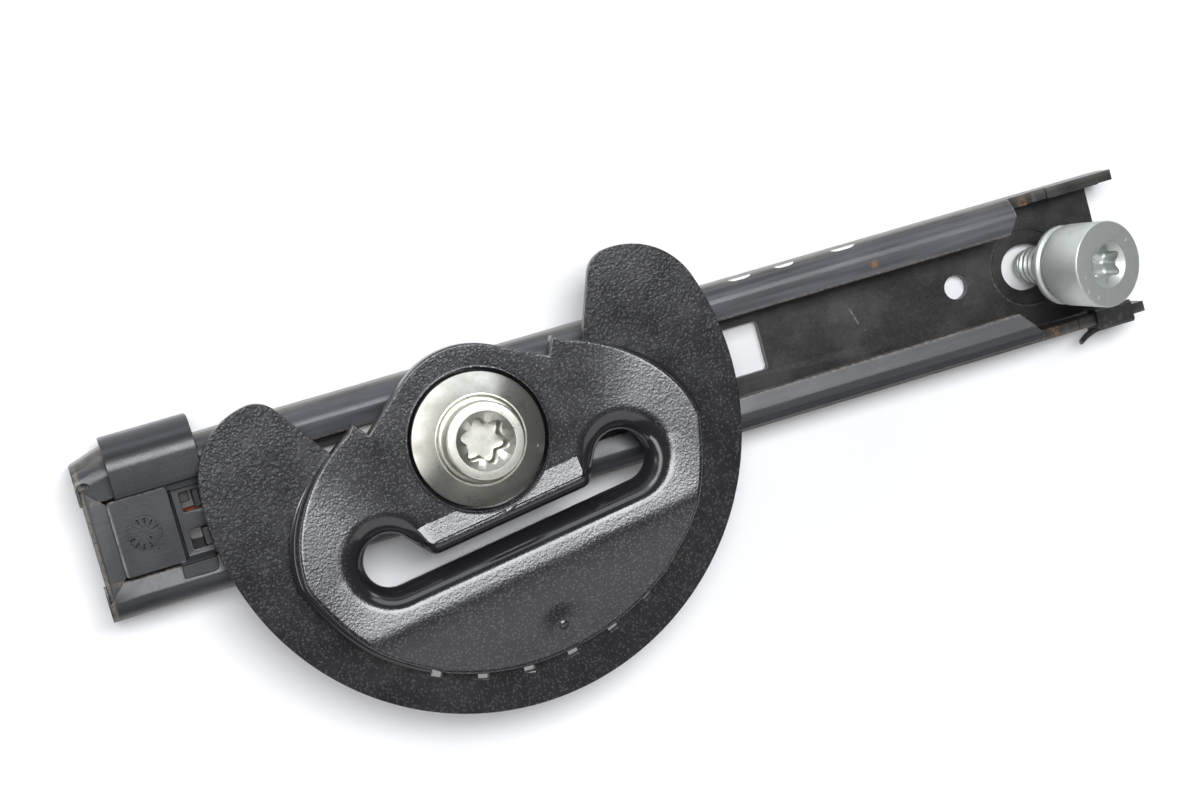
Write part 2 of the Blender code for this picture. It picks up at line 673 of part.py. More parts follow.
def make_wave_washer(parent, mat):
    """Thin ring with three waves, between the bush and the bolt's cone."""
    middle = bush_top() + GAP / 2 + WAVE_SHEET / 2 + WAVE_HEIGHT
    rings = []
    for i in range(36):
        a = 2 * math.pi * i / 36
        z = middle + WAVE_HEIGHT * math.cos(3 * a)
        ring = [(WAVE_R[0], z - WAVE_SHEET / 2), (WAVE_R[1], z - WAVE_SHEET / 2),
                (WAVE_R[1], z + WAVE_SHEET / 2), (WAVE_R[0], z + WAVE_SHEET / 2)]
        rings.append([(r * math.cos(a), r * math.sin(a), z) for r, z in ring])
    return mesh_object("wave_washer", loft(rings, closed=True), parent, mat)


def make_pivot_bolt(parent, mat):
    rim = GUIDE_FACE_Z - 0.35
    under = bush_top() + GAP / 2 + WAVE_SHEET + 2 * WAVE_HEIGHT + GAP / 2
    shoulder = spacer_z()[1] + GAP
    head = rim + HEAD_HEIGHT
    groove = rim + CONE_HEIGHT - 0.9
    profile = [(0, PLATE_Z - 0.9), (THREAD_R - 0.8, PLATE_Z - 0.9), (THREAD_R, PLATE_Z), (THREAD_R, shoulder),
               (SHOULDER_R, shoulder), (SHOULDER_R, under), (CONE_R - 0.3, under), (CONE_R, under + 0.2),
               (CONE_R, rim), (CONE_TOP_R + 0.3, rim + CONE_HEIGHT - 0.1), (CONE_TOP_R, rim + CONE_HEIGHT),
               (CONE_TOP_R - 0.4, groove), (HEAD_R - 0.1, groove), (HEAD_R, head - 0.7),
               (HEAD_R - 0.7, head), (RECESS_R + 0.9, head), (RECESS_R, head - 0.8), (0, head - 0.8)]
    bolt = mesh_object("pivot_bolt", turned_solid(profile, 48), parent, mat)
    recess = prism(lobed_outline(RECESS_R), head - RECESS_DEPTH, head + 1)
    return cut(bolt, tool("pivot_recess", recess, parent))


# belt guide
def slot_distance(u, v):
    """Distance outside the dumbbell slot, about zero on its edge."""
    ends = math.hypot(abs(u) - SLOT_HALF, v - SLOT_CENTRE) - SLOT_END_R
    middle = (SLOT_TOP + SLOT_BOTTOM) / 2
    dv = abs(v - middle) - (SLOT_BOTTOM - SLOT_TOP) / 2
    du = abs(u) - SLOT_HALF
    band = math.hypot(max(du, 0), max(dv, 0)) + min(max(du, dv), 0)
    return min(ends, band)


def soft_most(a, b, blend):
    """The larger of two heights, with a fillet where they cross."""
    overlap = max(blend - abs(a - b), 0.0) / blend
    return max(a, b) + overlap * overlap * blend / 4


def guide_height(u, v, from_edge):
    """The moulded face: flat about the boss, swept up to both ends and to a crest under the slot,
    then a long falling dome; rolled down at the slot and at the rim."""
    turn = math.radians(RAMP_TURN)
    sweep = GUIDE_FACE_Z + RAMP * (abs(u) * math.cos(turn) + v * math.sin(turn) - RAMP_START)
    z = soft_most(GUIDE_FACE_Z, sweep, 0.6)
    if v > SLOT_CENTRE or abs(u) > SLOT_HALF + 3.4:
        band = GUIDE_CREST_Z - RAMP * (CREST_V - v) - 4 * RAMP * max(0.0, SLOT_CENTRE - v)
        z = soft_most(z, band, 0.5)
    fall = v - CREST_V
    dome = GUIDE_CREST_Z - DOME_SLOPE * fall - DOME_BEND * max(0.0, fall) ** 2
    z = -soft_most(-z, -dome, 0.15)
    lip = smooth_step((LIP_HALF - abs(u)) / 1.6)
    if v < SLOT_TOP + 0.01 and lip > 0:
        flat = GUIDE_FACE_Z + 1.1 * min(1.0, max(0.0, (v - 10.3) / 3.6))
        z = z * (1 - lip) + flat * lip
        reach = 2.0
    else:
        reach = 3.4
    d = slot_distance(u, v)
    if d < reach:
        t = 1 - max(0.0, d) / reach
        floor = GUIDE_FOOT_Z + 1.2
        z = z - (z - floor) * (1 - math.sqrt(max(0.0, 1 - t * t)))
    if from_edge < RIM_ROLL:
        t = 1 - max(0.0, from_edge) / RIM_ROLL
        z = z - RIM_ROLL * (1 - math.sqrt(max(0.0, 1 - t * t)))
    away = math.hypot(u - DIMPLE_U, v - DIMPLE_V)
    return z - DIMPLE_DEPTH * (1 - smooth_step(away / DIMPLE_R))


def guide_half_outline():
    """Right half of the rim, from the top of the boss round to the bottom, as (u, v, foot) with
    how far the foot stands out there, and the slot's edge point that faces each. u and v are
    about the pivot, v down."""
    outer, inner = [], []
    lean = math.radians(BOSS_ANGLE)
    lip_end = math.sqrt(SLOT_END_R ** 2 - (SLOT_TOP - SLOT_CENTRE) ** 2)
    for i in range(9):
        a = lean * i / 8
        outer.append((BOSS_R * math.sin(a), -BOSS_CENTRE - BOSS_R * math.cos(a), 0.0))
        inner.append(((SLOT_HALF - lip_end - 1.6) * i / 8, SLOT_TOP))
    u, v, _ = outer[-1]
    notch = (NOTCH_U, v + (NOTCH_U - u) * math.tan(lean), 0.0)
    outer += [((u + notch[0]) / 2, (v + notch[1]) / 2, 0.0), notch, (TIP_U, notch[1] - TIP_RISE, 0.0)]
    inner.append((SLOT_HALF - lip_end, SLOT_TOP))

    def end_point(angle):
        return arc((SLOT_HALF, SLOT_CENTRE), SLOT_END_R, angle, angle, 1)[0]

    inner += [end_point(168), end_point(187)]
    start = math.asin(TIP_U / GUIDE_HALF)
    for i in range(1, 17):
        t = start + (math.pi / 2 - start) * i / 16
        foot = FOOT_LIP * smooth_step((i - 1) / 9)
        outer.append((GUIDE_HALF * math.sin(t), GUIDE_WAIST - SHOULDER_RISE * math.cos(t), foot))
        inner.append(end_point(187 + (360 - 187) * i / 16))
    low = math.degrees(math.atan2(GUIDE_WAIST, GUIDE_HALF))
    side_r = math.hypot(GUIDE_WAIST, GUIDE_HALF)
    step_at = 90 - SKIRT_GAP
    angles = [low + (step_at - low) * i / 8 for i in range(1, 9)]
    angles += [step_at + 0.8 + (SKIRT_GAP - 0.8) * i / 12 for i in range(13)]
    for angle in angles:
        share = (angle - low) / (step_at - low)
        if angle > step_at:
            radius, foot = GUIDE_LOWER_R - SKIRT_STEP, 0.0
        else:
            radius = side_r + (GUIDE_LOWER_R - FOOT_LIP - side_r) * smooth_step(share)
            foot = FOOT_LIP
        outer.append((*arc((0, 0), radius, angle, angle, 1)[0], foot))
        u = outer[-1][0]
        inner.append((u * SLOT_HALF / 24.0, SLOT_BOTTOM) if angle > step_at else end_point(90 * smooth_step(share)))
    return outer, inner


def mirrored(half):
    return half + [(-u, *rest) for u, *rest in reversed(half[1:-1])]


def make_guide(parent, mat):
    outer, inner = (mirrored(half) for half in guide_half_outline())
    pairs = list(zip(inner, outer))

    def ring(s, height):
        points = []
        for (u0, v0), (u1, v1, _) in pairs:
            u, v = u0 + (u1 - u0) * s, v0 + (v1 - v0) * s
            points.append((u, -v, height(u, v, (1 - s) * math.hypot(u1 - u0, v1 - v0))))
        return points

    def foot_ring(share, z):
        """A ring at share of the foot's width outside the rim."""
        points = []
        for (u0, v0), (u1, v1, foot) in pairs:
            s = 1 + share * foot / math.hypot(u1 - u0, v1 - v0)
            u, v = u0 + (u1 - u0) * s, v0 + (v1 - v0) * s
            points.append((u, -v, max(z, under(u, v, 0.0))))
        return points

    def under(u, v, from_edge):
        """The underside: hollow behind the lower dome and the ends, with a foot all round."""
        if v > 0 and from_edge > GUIDE_WALL and slot_distance(u, v) > GUIDE_WALL:
            return max(GUIDE_FOOT_Z, guide_height(u, v, from_edge) - GUIDE_WALL)
        in_gap = v > 0 and from_edge < GUIDE_WALL and abs(u) < GUIDE_LOWER_R * math.sin(math.radians(SKIRT_GAP))
        return GUIDE_FOOT_Z + (SKIRT_STEP if in_gap and v > SLOT_BOTTOM + 8 else 0.0)

    face = [ring(s, guide_height) for s in (0.0, 0.03, 0.07, 0.12, 0.19, 0.28, 0.40, 0.55, 0.70,
                                            0.82, 0.90, 0.93, 0.96, 0.985, 1.0)]
    high = GUIDE_FOOT_Z + FOOT_RISE
    foot = [foot_ring(0.0, high), foot_ring(1.0, high - 0.15), foot_ring(1.0, GUIDE_FOOT_Z)]
    back = [ring(s, under) for s in (0.91, 0.85, 0.60, 0.35, 0.18, 0.12, 0.0)]
    guide = mesh_object("belt_guide", loft(face + foot + back, closed=True), parent, mat)
    web = spacer_z()[1] + GAP, bush_top() - BUSH_FLANGE - GAP
    outer_r, high = GUIDE_HOLE_R + 1.5, GUIDE_FOOT_Z + 1.4
    ring_bm = turned([(GUIDE_WEB_R, web[0]), (outer_r, web[0]), (outer_r, high), (GUIDE_WEB_R, high)])
    unite(guide, tool("guide_web", ring_bm, parent))
    sink = prism(arc((0, 0), GUIDE_HOLE_R, 0, 355, 71), web[1], GUIDE_CREST_Z + 4)
    cut(guide, tool("guide_sink", sink, parent))
    bore = prism(arc((0, 0), GUIDE_WEB_R + 0.01, 0, 352.5, 47), web[0] - 2, GUIDE_CREST_Z)
    cut(guide, tool("guide_bore", bore, parent))
    return guide


# shield
def shield_half_outline():
    """Right half from above the boss to the bottom, as (u, v) about the pivot, v down."""
    tip = arc((0, 0), SHIELD_R - LOBE_INSET, -LOBE_ANGLE, -LOBE_ANGLE, 1)[0]
    top = LOBE_TIP_R - tip[1]
    back_r = (SHIELD_R ** 2 - tip[0] ** 2 - top ** 2) / (2 * (SHIELD_R - top))
    back = (tip[0], back_r - top)
    meet = math.degrees(math.atan2(back[1], back[0]))
    hub = GUIDE_HOLE_R + 3.8
    points = arc((0, 0), hub, -90, -24, 9)
    side = arc(tip, LOBE_TIP_R, 180 + LOBE_SIDE, 270, 7)
    lean = math.radians(LOBE_SIDE)
    foot = (side[0][0] - LOBE_SIDE_LENGTH * math.sin(lean), side[0][1] + LOBE_SIDE_LENGTH * math.cos(lean))
    points += [foot] + side
    points += arc(back, back_r, 270, 360 + meet, 9)[1:]
    points += arc((0, 0), SHIELD_R, meet, 90, 30)[1:]
    return points


def shield_opening():
    """Right half of the opening behind the hub and the slot."""
    half = SLOT_HALF + SLOT_END_R + MOUTH_SIDE
    high = SLOT_CENTRE - SLOT_END_R - MOUTH_UP
    low = SLOT_BOTTOM + MOUTH_DOWN
    hub = GUIDE_HOLE_R + 1.5 + GAP
    r = SHIELD_MOUTH_R
    start = math.degrees(math.asin(high / hub))
    points = arc((0, 0), hub, -90, start, 16)
    points += arc((half - r, high + r), r, -90, 0, 6)
    points += arc((half - r, low - r), r, 0, 90, 6)
    return points + [(0.0, low)]


def make_shield(parent, mat):
    low, high = SHIELD_Z, SHIELD_Z + SHIELD_SHEET
    outline = [(u, -v) for u, v in mirrored(shield_half_outline())]
    shield = mesh_object("guide_shield", prism(outline, low, high), parent, mat)
    holes = prism([(u, -v) for u, v in mirrored(shield_opening())], low - 1, high + 1)
    across = (GUIDE_LOWER_R - SHIELD_WINDOW_IN, GUIDE_LOWER_R + SHIELD_WINDOW_OUT)
    for i in range(SHIELD_WINDOWS):
        turn = math.radians(SHIELD_WINDOW_TURN - 90 + (i - (SHIELD_WINDOWS - 1) / 2) * SHIELD_WINDOW_PITCH)
        window = box(across, (-SHIELD_WINDOW / 2, SHIELD_WINDOW / 2), (low - 1, high + 1))
        bmesh.ops.rotate(window, verts=window.verts, matrix=Matrix.Rotation(turn, 3, "Z"))
        add(holes, window)
    return cut(shield, tool("shield_openings", holes, parent))


# mounting bolt
def make_mount_bolt(parent, mat):
    """Bolt drawn from its tip upward; its parent leans it."""
    seat = BOLT_THREAD + GAP + COLLAR
    top = seat + GAP + BOLT_HEAD
    neck = COLLAR_R - 2.6
    profile = [(0, 0), (BOLT_THREAD_R - 0.9, 0), (BOLT_THREAD_R - 0.2, 2.4), (BOLT_THREAD_R, 3.0),
               (BOLT_THREAD_R, seat + GAP), (neck + 1.4, seat + GAP), (BOLT_HEAD_R, seat + GAP + 1.4),
               (BOLT_HEAD_R, top - 0.5), (BOLT_HEAD_R - 0.5, top), (RECESS_R + 1.0, top),
               (RECESS_R, top - 0.9), (0, top - 0.9)]
    bolt = mesh_object("mount_bolt", turned_solid(profile, 44), parent, mat)
    recess = prism(lobed_outline(RECESS_R), top - RECESS_DEPTH, top + 1)
    return cut(bolt, tool("mount_recess", recess, parent))


def make_mount_washer(parent, mat):
    """Loose collar under the bolt's head."""
    low, high = BOLT_THREAD, BOLT_THREAD + COLLAR
    bore = BOLT_THREAD_R + GAP
    profile = [(bore, low), (COLLAR_R - 0.3, low), (COLLAR_R, low + 0.3), (COLLAR_R, high - 0.5),
               (COLLAR_R - 0.6, high), (bore, high)]
    return mesh_object("mount_washer", turned(profile), parent, mat)


def make_keeper(parent, mat):
    """Strip of plastic folded over the lower ear, both legs gripping its wall."""
    wall = RAIL_WIDTH / 2
    inner, outer = -wall + SHEET + GAP, -wall - GAP
    top = EAR_HEIGHT + GAP
    skin = KEEPER_SKIN
    section = [(inner, top - 3.4), (inner + skin, top - 3.4), (inner + skin, top + skin - 0.5),
               (inner + skin - 0.5, top + skin), (outer - skin + 0.5, top + skin),
               (outer - skin, top + skin - 0.5), (outer - skin, top - KEEPER_DROP),
               (outer, top - KEEPER_DROP), (outer, top), (inner, top)]
    x = (KEEPER_X - KEEPER_LENGTH / 2, KEEPER_X + KEEPER_LENGTH / 2)
    keeper = mesh_object("bolt_keeper", loft([[(xx, y, z) for y, z in section] for xx in x]), parent, mat)
    # Torn tail that curls down from the outer leg
    tail = []
    for i in range(9):
        t = i / 8
        x_at = KEEPER_X - KEEPER_LENGTH / 2 + 1.6 - 4.4 * t
        y_at = outer - skin / 2 - 2.0 * t * t
        z_at = top - 1.6 - 1.8 * t
        wide = 1.5 - 0.9 * t
        half = skin / 2 * 0.9
        tail.append([(x_at, y_at - half, z_at - wide), (x_at, y_at + half, z_at - wide),
                     (x_at, y_at + half, z_at + wide), (x_at, y_at - half, z_at + wide)])
    unite(keeper, tool("keeper_tail", loft(tail), parent))
    return keeper


def main():
    clear_scene()
    root = empty("adjuster", at=(-LAND_X, 0, 0))
    slide = empty("carriage", root)
    swing = empty("guide_pivot", slide, turn=GUIDE_SWING)
    lean = empty("bolt_lean", root, BOLT_TIP)
    tilt, heading = math.radians(BOLT_LEAN), math.radians(BOLT_LEAN_DIRECTION)
    turn = Matrix.Rotation(heading, 4, "Z") @ Matrix.Rotation(tilt, 4, "Y") @ Matrix.Rotation(-heading, 4, "Z")
    lean.rotation_euler = turn.to_euler()

    steel = material("coated steel", (0.050, 0.047, 0.046), 0.42, 0.6)
    cap = material("cap plastic", (0.055, 0.056, 0.060), 0.5)
    orange = material("orange rubber", (0.62, 0.16, 0.05), 0.6)
    dark_steel = material("phosphated steel", (0.10, 0.10, 0.10), 0.5, 0.8)
    shoe = material("slide plastic", (0.72, 0.70, 0.66), 0.45)
    bright = material("bright steel", (0.62, 0.62, 0.60), 0.3, 1.0)
    spring = material("spring steel", (0.30, 0.30, 0.31), 0.35, 1.0)
    zinc = material("zinc plate", (0.66, 0.65, 0.60), 0.33, 1.0)
    dull_zinc = material("dull zinc plate", (0.42, 0.43, 0.42), 0.45, 1.0)
    bush = material("bush plastic", (0.85, 0.84, 0.80), 0.4)
    guide = material("guide plastic", (0.030, 0.030, 0.033), 0.42)
    shield = material("shield plastic", (0.018, 0.018, 0.019), 0.55)
    keeper = material("keeper plastic", (0.012, 0.012, 0.012), 0.5)

    make_rail(root, steel)
    make_end_cap(root, cap)
    make_buffer(root, orange)
    make_carriage(slide, dark_steel)
    left, right = PLATE_LEFT - SHOE_OVERHANG, PLATE_RIGHT + SHOE_OVERHANG
    make_shoe("slide_shoe_lower", left, left + SHOE_LENGTH, slide, shoe)
    make_shoe("slide_shoe_upper", right, right - SHOE_LENGTH, slide, shoe)
    make_lock_pin(slide, bright)
    make_spring(slide, spring)
    make_bridge(slide, dark_steel)
    make_lever(slide, dark_steel)
    make_lever_pin(slide, bright)
    make_nut(slide, dark_steel)
    make_spacer(slide, bright)
    make_bush(slide, bush)
    make_wave_washer(slide, spring)
    make_pivot_bolt(slide, zinc)
    make_guide(swing, guide)
    make_shield(swing, shield)
    make_mount_bolt(lean, dull_zinc)
    make_mount_washer(lean, dull_zinc)
    make_keeper(root, keeper)


main()
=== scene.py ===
"""Seat belt height adjuster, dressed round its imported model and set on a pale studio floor.

Shapes are drawn in millimetres. Rail pieces use the rail's own frame: X along the rail from
the pivot, Z up from its back. Guide pieces use u to the right and v down from the pivot.
"""

import math

import bmesh
import bpy
import numpy as np
from mathutils import Matrix, Vector


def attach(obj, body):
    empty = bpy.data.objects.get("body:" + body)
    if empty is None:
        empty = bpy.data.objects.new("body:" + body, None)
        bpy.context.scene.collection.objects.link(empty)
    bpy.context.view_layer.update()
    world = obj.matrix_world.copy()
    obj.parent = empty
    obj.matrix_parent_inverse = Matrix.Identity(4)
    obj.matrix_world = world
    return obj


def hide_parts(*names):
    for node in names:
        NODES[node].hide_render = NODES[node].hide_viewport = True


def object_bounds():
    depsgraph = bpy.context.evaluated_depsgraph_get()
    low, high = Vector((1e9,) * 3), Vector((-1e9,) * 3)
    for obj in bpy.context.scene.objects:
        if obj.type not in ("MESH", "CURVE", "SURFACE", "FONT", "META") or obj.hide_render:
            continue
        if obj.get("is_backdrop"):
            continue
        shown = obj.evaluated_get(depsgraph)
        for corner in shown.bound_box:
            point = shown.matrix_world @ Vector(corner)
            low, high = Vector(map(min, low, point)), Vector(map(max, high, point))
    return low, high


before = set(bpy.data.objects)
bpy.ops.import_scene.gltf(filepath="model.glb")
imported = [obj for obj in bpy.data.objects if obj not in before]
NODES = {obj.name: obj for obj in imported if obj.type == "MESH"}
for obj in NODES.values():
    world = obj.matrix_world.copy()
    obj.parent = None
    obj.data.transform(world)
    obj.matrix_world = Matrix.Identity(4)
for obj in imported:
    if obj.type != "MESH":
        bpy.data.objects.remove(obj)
cad_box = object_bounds()

MM = 0.001
PIVOT_X = -80.0                # the pivot's axis in the frame, along the rail


class Value:
    """A node's output in a Python sum: every operator adds a Math node."""

    def __init__(self, finish, socket):
        self.finish = finish
        self.socket = socket

    def math(self, operation, *values, clamp=False):
        return self.finish.node("Math", {"operation": operation, "use_clamp": clamp},
                                dict(enumerate(values)))

    def __add__(self, other):
        return self.math("ADD", self, other)

    def __sub__(self, other):
        return self.math("SUBTRACT", self, other)

    def __rsub__(self, other):
        return self.math("SUBTRACT", other, self)

    def __mul__(self, other):
        return self.math("MULTIPLY", self, other)

    def __truediv__(self, other):
        return self.math("DIVIDE", self, other)

    def __pow__(self, other):
        return self.math("POWER", self, other)

    def __abs__(self):
        return self.math("ABSOLUTE", self)

    def least(self, other):
        return self.math("MINIMUM", self, other)

    def most(self, other):
        return self.math("MAXIMUM", self, other)

    def ramp(self, low, high):
        """0 below low, 1 above high; the other way round where low is the larger."""
        return self.math("MULTIPLY", self - low, 1 / (high - low), clamp=True)

    __radd__ = __add__
    __rmul__ = __mul__


class Finish:
    """A material. node() adds any node, and feed() links a value to the surface shader."""

    def __init__(self, name, turn=None, **constants):
        self.material = bpy.data.materials.new(name)
        self.material.use_nodes = True
        self.tree = self.material.node_tree
        self.shader = self.tree.nodes["Principled BSDF"]
        for key, value in constants.items():
            self.shader.inputs[key.replace("_", " ")].default_value = value
        self.place = self.node("TexCoord", out="Object")
        if turn:
            self.place = self.node("VectorRotate", {"rotation_type": "EULER_XYZ", "invert": True},
                                   {"Vector": self.place, "Rotation": tuple(turn.to_euler())})

    def node(self, kind, settings=None, inputs=None, out=0):
        node = self.tree.nodes.new("ShaderNode" + kind)
        for key, value in (settings or {}).items():
            setattr(node, key, value)
        for key, value in (inputs or {}).items():
            self.join(value, node.inputs[key])
        return Value(self, node.outputs[out])

    def join(self, value, socket):
        if isinstance(value, Value):
            self.tree.links.new(value.socket, socket)
        elif socket.type == "RGBA" and len(value) == 3:
            socket.default_value = (*value, 1)
        else:
            socket.default_value = value

    def feed(self, **values):
        for key, value in values.items():
            self.join(value, self.shader.inputs[key.replace("_", " ")])

    def axes(self):
        """The place on the piece as three numbers, in millimetres."""
        parts = [self.node("SeparateXYZ", inputs={0: self.place}, out=i) for i in range(3)]
        return [part * (1 / MM) for part in parts]

    def noise(self, size, detail=2.0, roughness=0.5, stretch=None):
        """Cloudy pattern whose features are about size millimetres."""
        place = self.place
        if stretch:
            place = self.node("Mapping", inputs={0: place, 3: stretch})
        return self.node("TexNoise", inputs={"Vector": place, "Scale": 1 / (size * MM), "Detail": detail,
                                             "Roughness": roughness})

    def cells(self, size):
        """Distance to the nearest of many points that lie about size millimetres apart."""
        return self.node("TexVoronoi", inputs={"Vector": self.place, "Scale": 1 / (size * MM)},
                         out="Distance")

    def mix(self, factor, a, b):
        """Colour a where factor is 0 and b where it is 1."""
        return self.node("Mix", {"data_type": "RGBA"}, {0: factor, 6: a, 7: b}, 2)

    def relief(self, height, depth):
        """A normal raised by height times depth millimetres."""
        return self.node("Bump", inputs={"Strength": 1.0, "Distance": depth * MM, "Height": height},
                         out="Normal")


def dark_steel(name, colour, dust=(0.12, 0.11, 0.105), roughness=0.42):
    """Black-dipped sheet steel: fine pitted coat, grey dust lying in clouds, brown in the worst of it."""
    steel = Finish(name, Metallic=0.0, IOR=1.5)
    cloud = steel.noise(9, 4, 0.6)
    fleck = steel.noise(0.55, 3, 0.6)
    speck = steel.cells(1.1)
    tint = steel.mix((cloud - 0.45).ramp(0, 0.25) * 0.55, colour, dust)
    tint = steel.mix(fleck.ramp(0.52, 0.70) * 0.2, tint, [c * 1.4 for c in dust])
    tint = steel.mix(speck.ramp(0.10, 0.04) * cloud.ramp(0.45, 0.6) * 0.6, tint, (0.20, 0.17, 0.13))
    steel.feed(Base_Color=tint, Roughness=roughness + (cloud - 0.5) * 0.5 + (fleck - 0.5) * 0.3,
               Normal=steel.relief(fleck + steel.noise(0.22, 1) * 0.6, 0.018))
    steel.tint, steel.cloud, steel.fleck = tint, cloud, fleck
    return steel


def arc(centre, radius, start, end, steps):
    angles = [math.radians(start + (end - start) * i / steps) for i in range(steps + 1)]
    return [(centre[0] + radius * math.cos(a), centre[1] + radius * math.sin(a)) for a in angles]


def fillet(points, radius, steps=4, closed=True):
    """The outline with its corners rounded; radius is one number, or one for each corner."""
    out = []
    count = len(points)
    radii = radius if isinstance(radius, (list, tuple)) else [radius] * count
    for i, (corner, r) in enumerate(zip(points, radii)):
        corner = Vector(corner)
        if r <= 0 or (not closed and i in (0, count - 1)):
            out.append(tuple(corner))
            continue
        a = Vector(points[i - 1]) - corner
        b = Vector(points[(i + 1) % count]) - corner
        half = a.angle(b) / 2
        reach = min(r / math.tan(half), a.length * 0.49, b.length * 0.49)
        a, b = a.normalized(), b.normalized()
        r = reach * math.tan(half)
        centre = corner + (a + b).normalized() * (r / math.sin(half))
        first = corner + a * reach - centre
        last = corner + b * reach - centre
        sweep = first.angle(last)
        if first.cross(last) < 0:
            sweep = -sweep
        for k in range(steps + 1):
            turn = sweep * k / steps
            x = first.x * math.cos(turn) - first.y * math.sin(turn)
            y = first.x * math.sin(turn) + first.y * math.cos(turn)
            out.append((centre.x + x, centre.y + y))
    return out


def skin(rows, around=True, along=False, ends=True):
    """Points and faces of a surface through rows of equal counts."""
    count = len(rows[0])
    points = [p for row in rows for p in row]
    faces = []
    spans = len(rows) if along else len(rows) - 1
    for i in range(spans):
        a, b = i * count, (i + 1) % len(rows) * count
        for j in range(count if around else count - 1):
            k = (j + 1) % count
            faces.append((a + j, a + k, b + k, b + j))
    if ends and not along:
        faces.append(tuple(range(count)))
        faces.append(tuple(range(len(points) - count, len(points))))
    return points, faces


def piece(name, shape, finish=None, at=(0, 0, 0), turn=None, sharp=32):
    """An object from millimetre points, turned about its origin, which is at the given place
    from the pivot's foot."""
    mesh = bpy.data.meshes.new(name)
    bm = bmesh.new()
    for p in shape[0]:
        bm.verts.new((turn or Matrix()) @ (Vector(p) * MM))
    bm.verts.ensure_lookup_table()
    for face in shape[1]:
        corners = [bm.verts[i] for i in face]
        bm.faces.new(corners)
    bmesh.ops.remove_doubles(bm, verts=bm.verts, dist=1e-7)
    bmesh.ops.dissolve_degenerate(bm, edges=bm.edges, dist=1e-7)
    bmesh.ops.recalc_face_normals(bm, faces=bm.faces)
    bm.to_mesh(mesh)
    bm.free()
    mesh.shade_smooth()
    mesh.set_sharp_from_angle(angle=math.radians(sharp))
    if finish:
        mesh.materials.append(finish.material)
    obj = bpy.data.objects.new(name, mesh)
    bpy.context.scene.collection.objects.link(obj)
    obj.matrix_world = Matrix.Translation(Vector((at[0] + PIVOT_X, at[1], at[2])) * MM)
    return obj


def settle(obj, sharp=32):
    """Turns the object's modifiers into its mesh."""
    bpy.context.view_layer.update()
    graph = bpy.context.evaluated_depsgraph_get()
    mesh = bpy.data.meshes.new_from_object(obj.evaluated_get(graph))
    obj.modifiers.clear()
    obj.data = mesh
    if sharp:
        mesh.shade_smooth()
        mesh.set_sharp_from_angle(angle=math.radians(sharp))


def shape_with(obj, operation, shape, at=(0, 0, 0), turn=None):
    """Cuts a shape from the object, or joins it on."""
    tool = piece("tool", shape, None, at, turn)
    mod = obj.modifiers.new("tool", "BOOLEAN")
    mod.operation = operation
    mod.object = tool
    settle(obj)
    bpy.data.objects.remove(tool)


def soften(obj, width, angle=40, steps=2, clamp=False):
    """Rounds the edges that are sharper than angle, and lets large faces stay flat."""
    mod = obj.modifiers.new("edges", "BEVEL")
    mod.width = width * MM
    mod.segments = steps
    mod.limit_method = "ANGLE"
    mod.angle_limit = math.radians(angle)
    mod.use_clamp_overlap = clamp
    mod.miter_outer = "MITER_ARC"
    settle(obj, 75)
    flatten(obj)


def flatten(obj):
    """Lets large faces stay flat beside small rounded ones."""
    mod = obj.modifiers.new("normals", "WEIGHTED_NORMAL")
    mod.keep_sharp = True
    mod.weight = 90
    settle(obj, None)


def prism(outline, low, high):
    return skin([[(x, y, z) for x, y in outline] for z in (low, high)])


def box(x, y, z):
    return prism([(x[0], y[0]), (x[1], y[0]), (x[1], y[1]), (x[0], y[1])], *z)


def rounded_box(x, y, radius, steps=5):
    return fillet([(x[1], y[1]), (x[0], y[1]), (x[0], y[0]), (x[1], y[0])], radius, steps)


def turned(profile, steps=128):
    """A profile of (radius, z) turned about its axis; a closed one repeats its first point."""
    rows = []
    for i in range(steps):
        a = 2 * math.pi * i / steps
        rows.append([(r * math.cos(a), r * math.sin(a), z) for r, z in profile])
    return skin(rows, around=False, along=True)


def moved(shape, matrix):
    return [tuple(matrix @ Vector(p)) for p in shape[0]], shape[1]


def several(*shapes):
    """Separate closed shapes as one."""
    points, faces = [], []
    for more, corners in shapes:
        faces += [tuple(i + len(points) for i in face) for face in corners]
        points += more
    return points, faces


def dress(obj, body, node):
    """Rides the piece on its body, in place of the node that it stands for."""
    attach(obj, body)
    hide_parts(node)


def finish_node(name, finish):
    for slot in NODES[name].material_slots:
        slot.material = finish.material


def smooth_step(x):
    """0 below 0 and 1 above 1, with an even turn at both; x is a number or an array."""
    x = np.clip(x, 0, 1)
    return x * x * (3 - 2 * x)


# Rail: a channel pressed from 2 mm steel sheet with its edges rolled inward, closed at one
# end by a folded lip and open at the other, where its walls go on as ears. Dipped in black
# primer, dusty along the bends and rusty at the cut edges. Its rolled tops carry a painted
# bluish reflection, a painted sheen that is lighter on the upper flange, and painted glints.
SHEET = 2.0
RAIL_WIDTH = 28.1
RAIL_HEIGHT = 12.4
RAIL_OPENING = 14.5
RAIL_LEFT = -69.3
WALL_LEFT = -68.95            # the folded end wall stands a little inside the flanges' ends
WALL_HALF = 10.5
LIP_LEFT = -65.0
LIP_DROP = 0.75
FLANGE_RIGHT = 111.2
BASE_RIGHT = 130.2
EAR_RIGHT = 133.2
EAR_HEIGHT = 8.8
BEND_LOW = 2.6
BEND_TOP = 4.4
END_FLARE = 2.2
FLARE_RISE = 5.8
FLARE_END = -49.0
FLARE_FALL = 8.0
MOUNT_HOLE = (114.0, 0.8, 4.4)     # centre, how far it is drawn out, radius
MOUNT_SEAT_R = 7.3
LOCATING_HOLE = (99.8, 2.35)       # centre, radius
WINDOW_COUNT = 9
WINDOW_PITCH = 13.0
WINDOW_LENGTH = 8.0
WINDOW_HALF = 4.7                  # half width
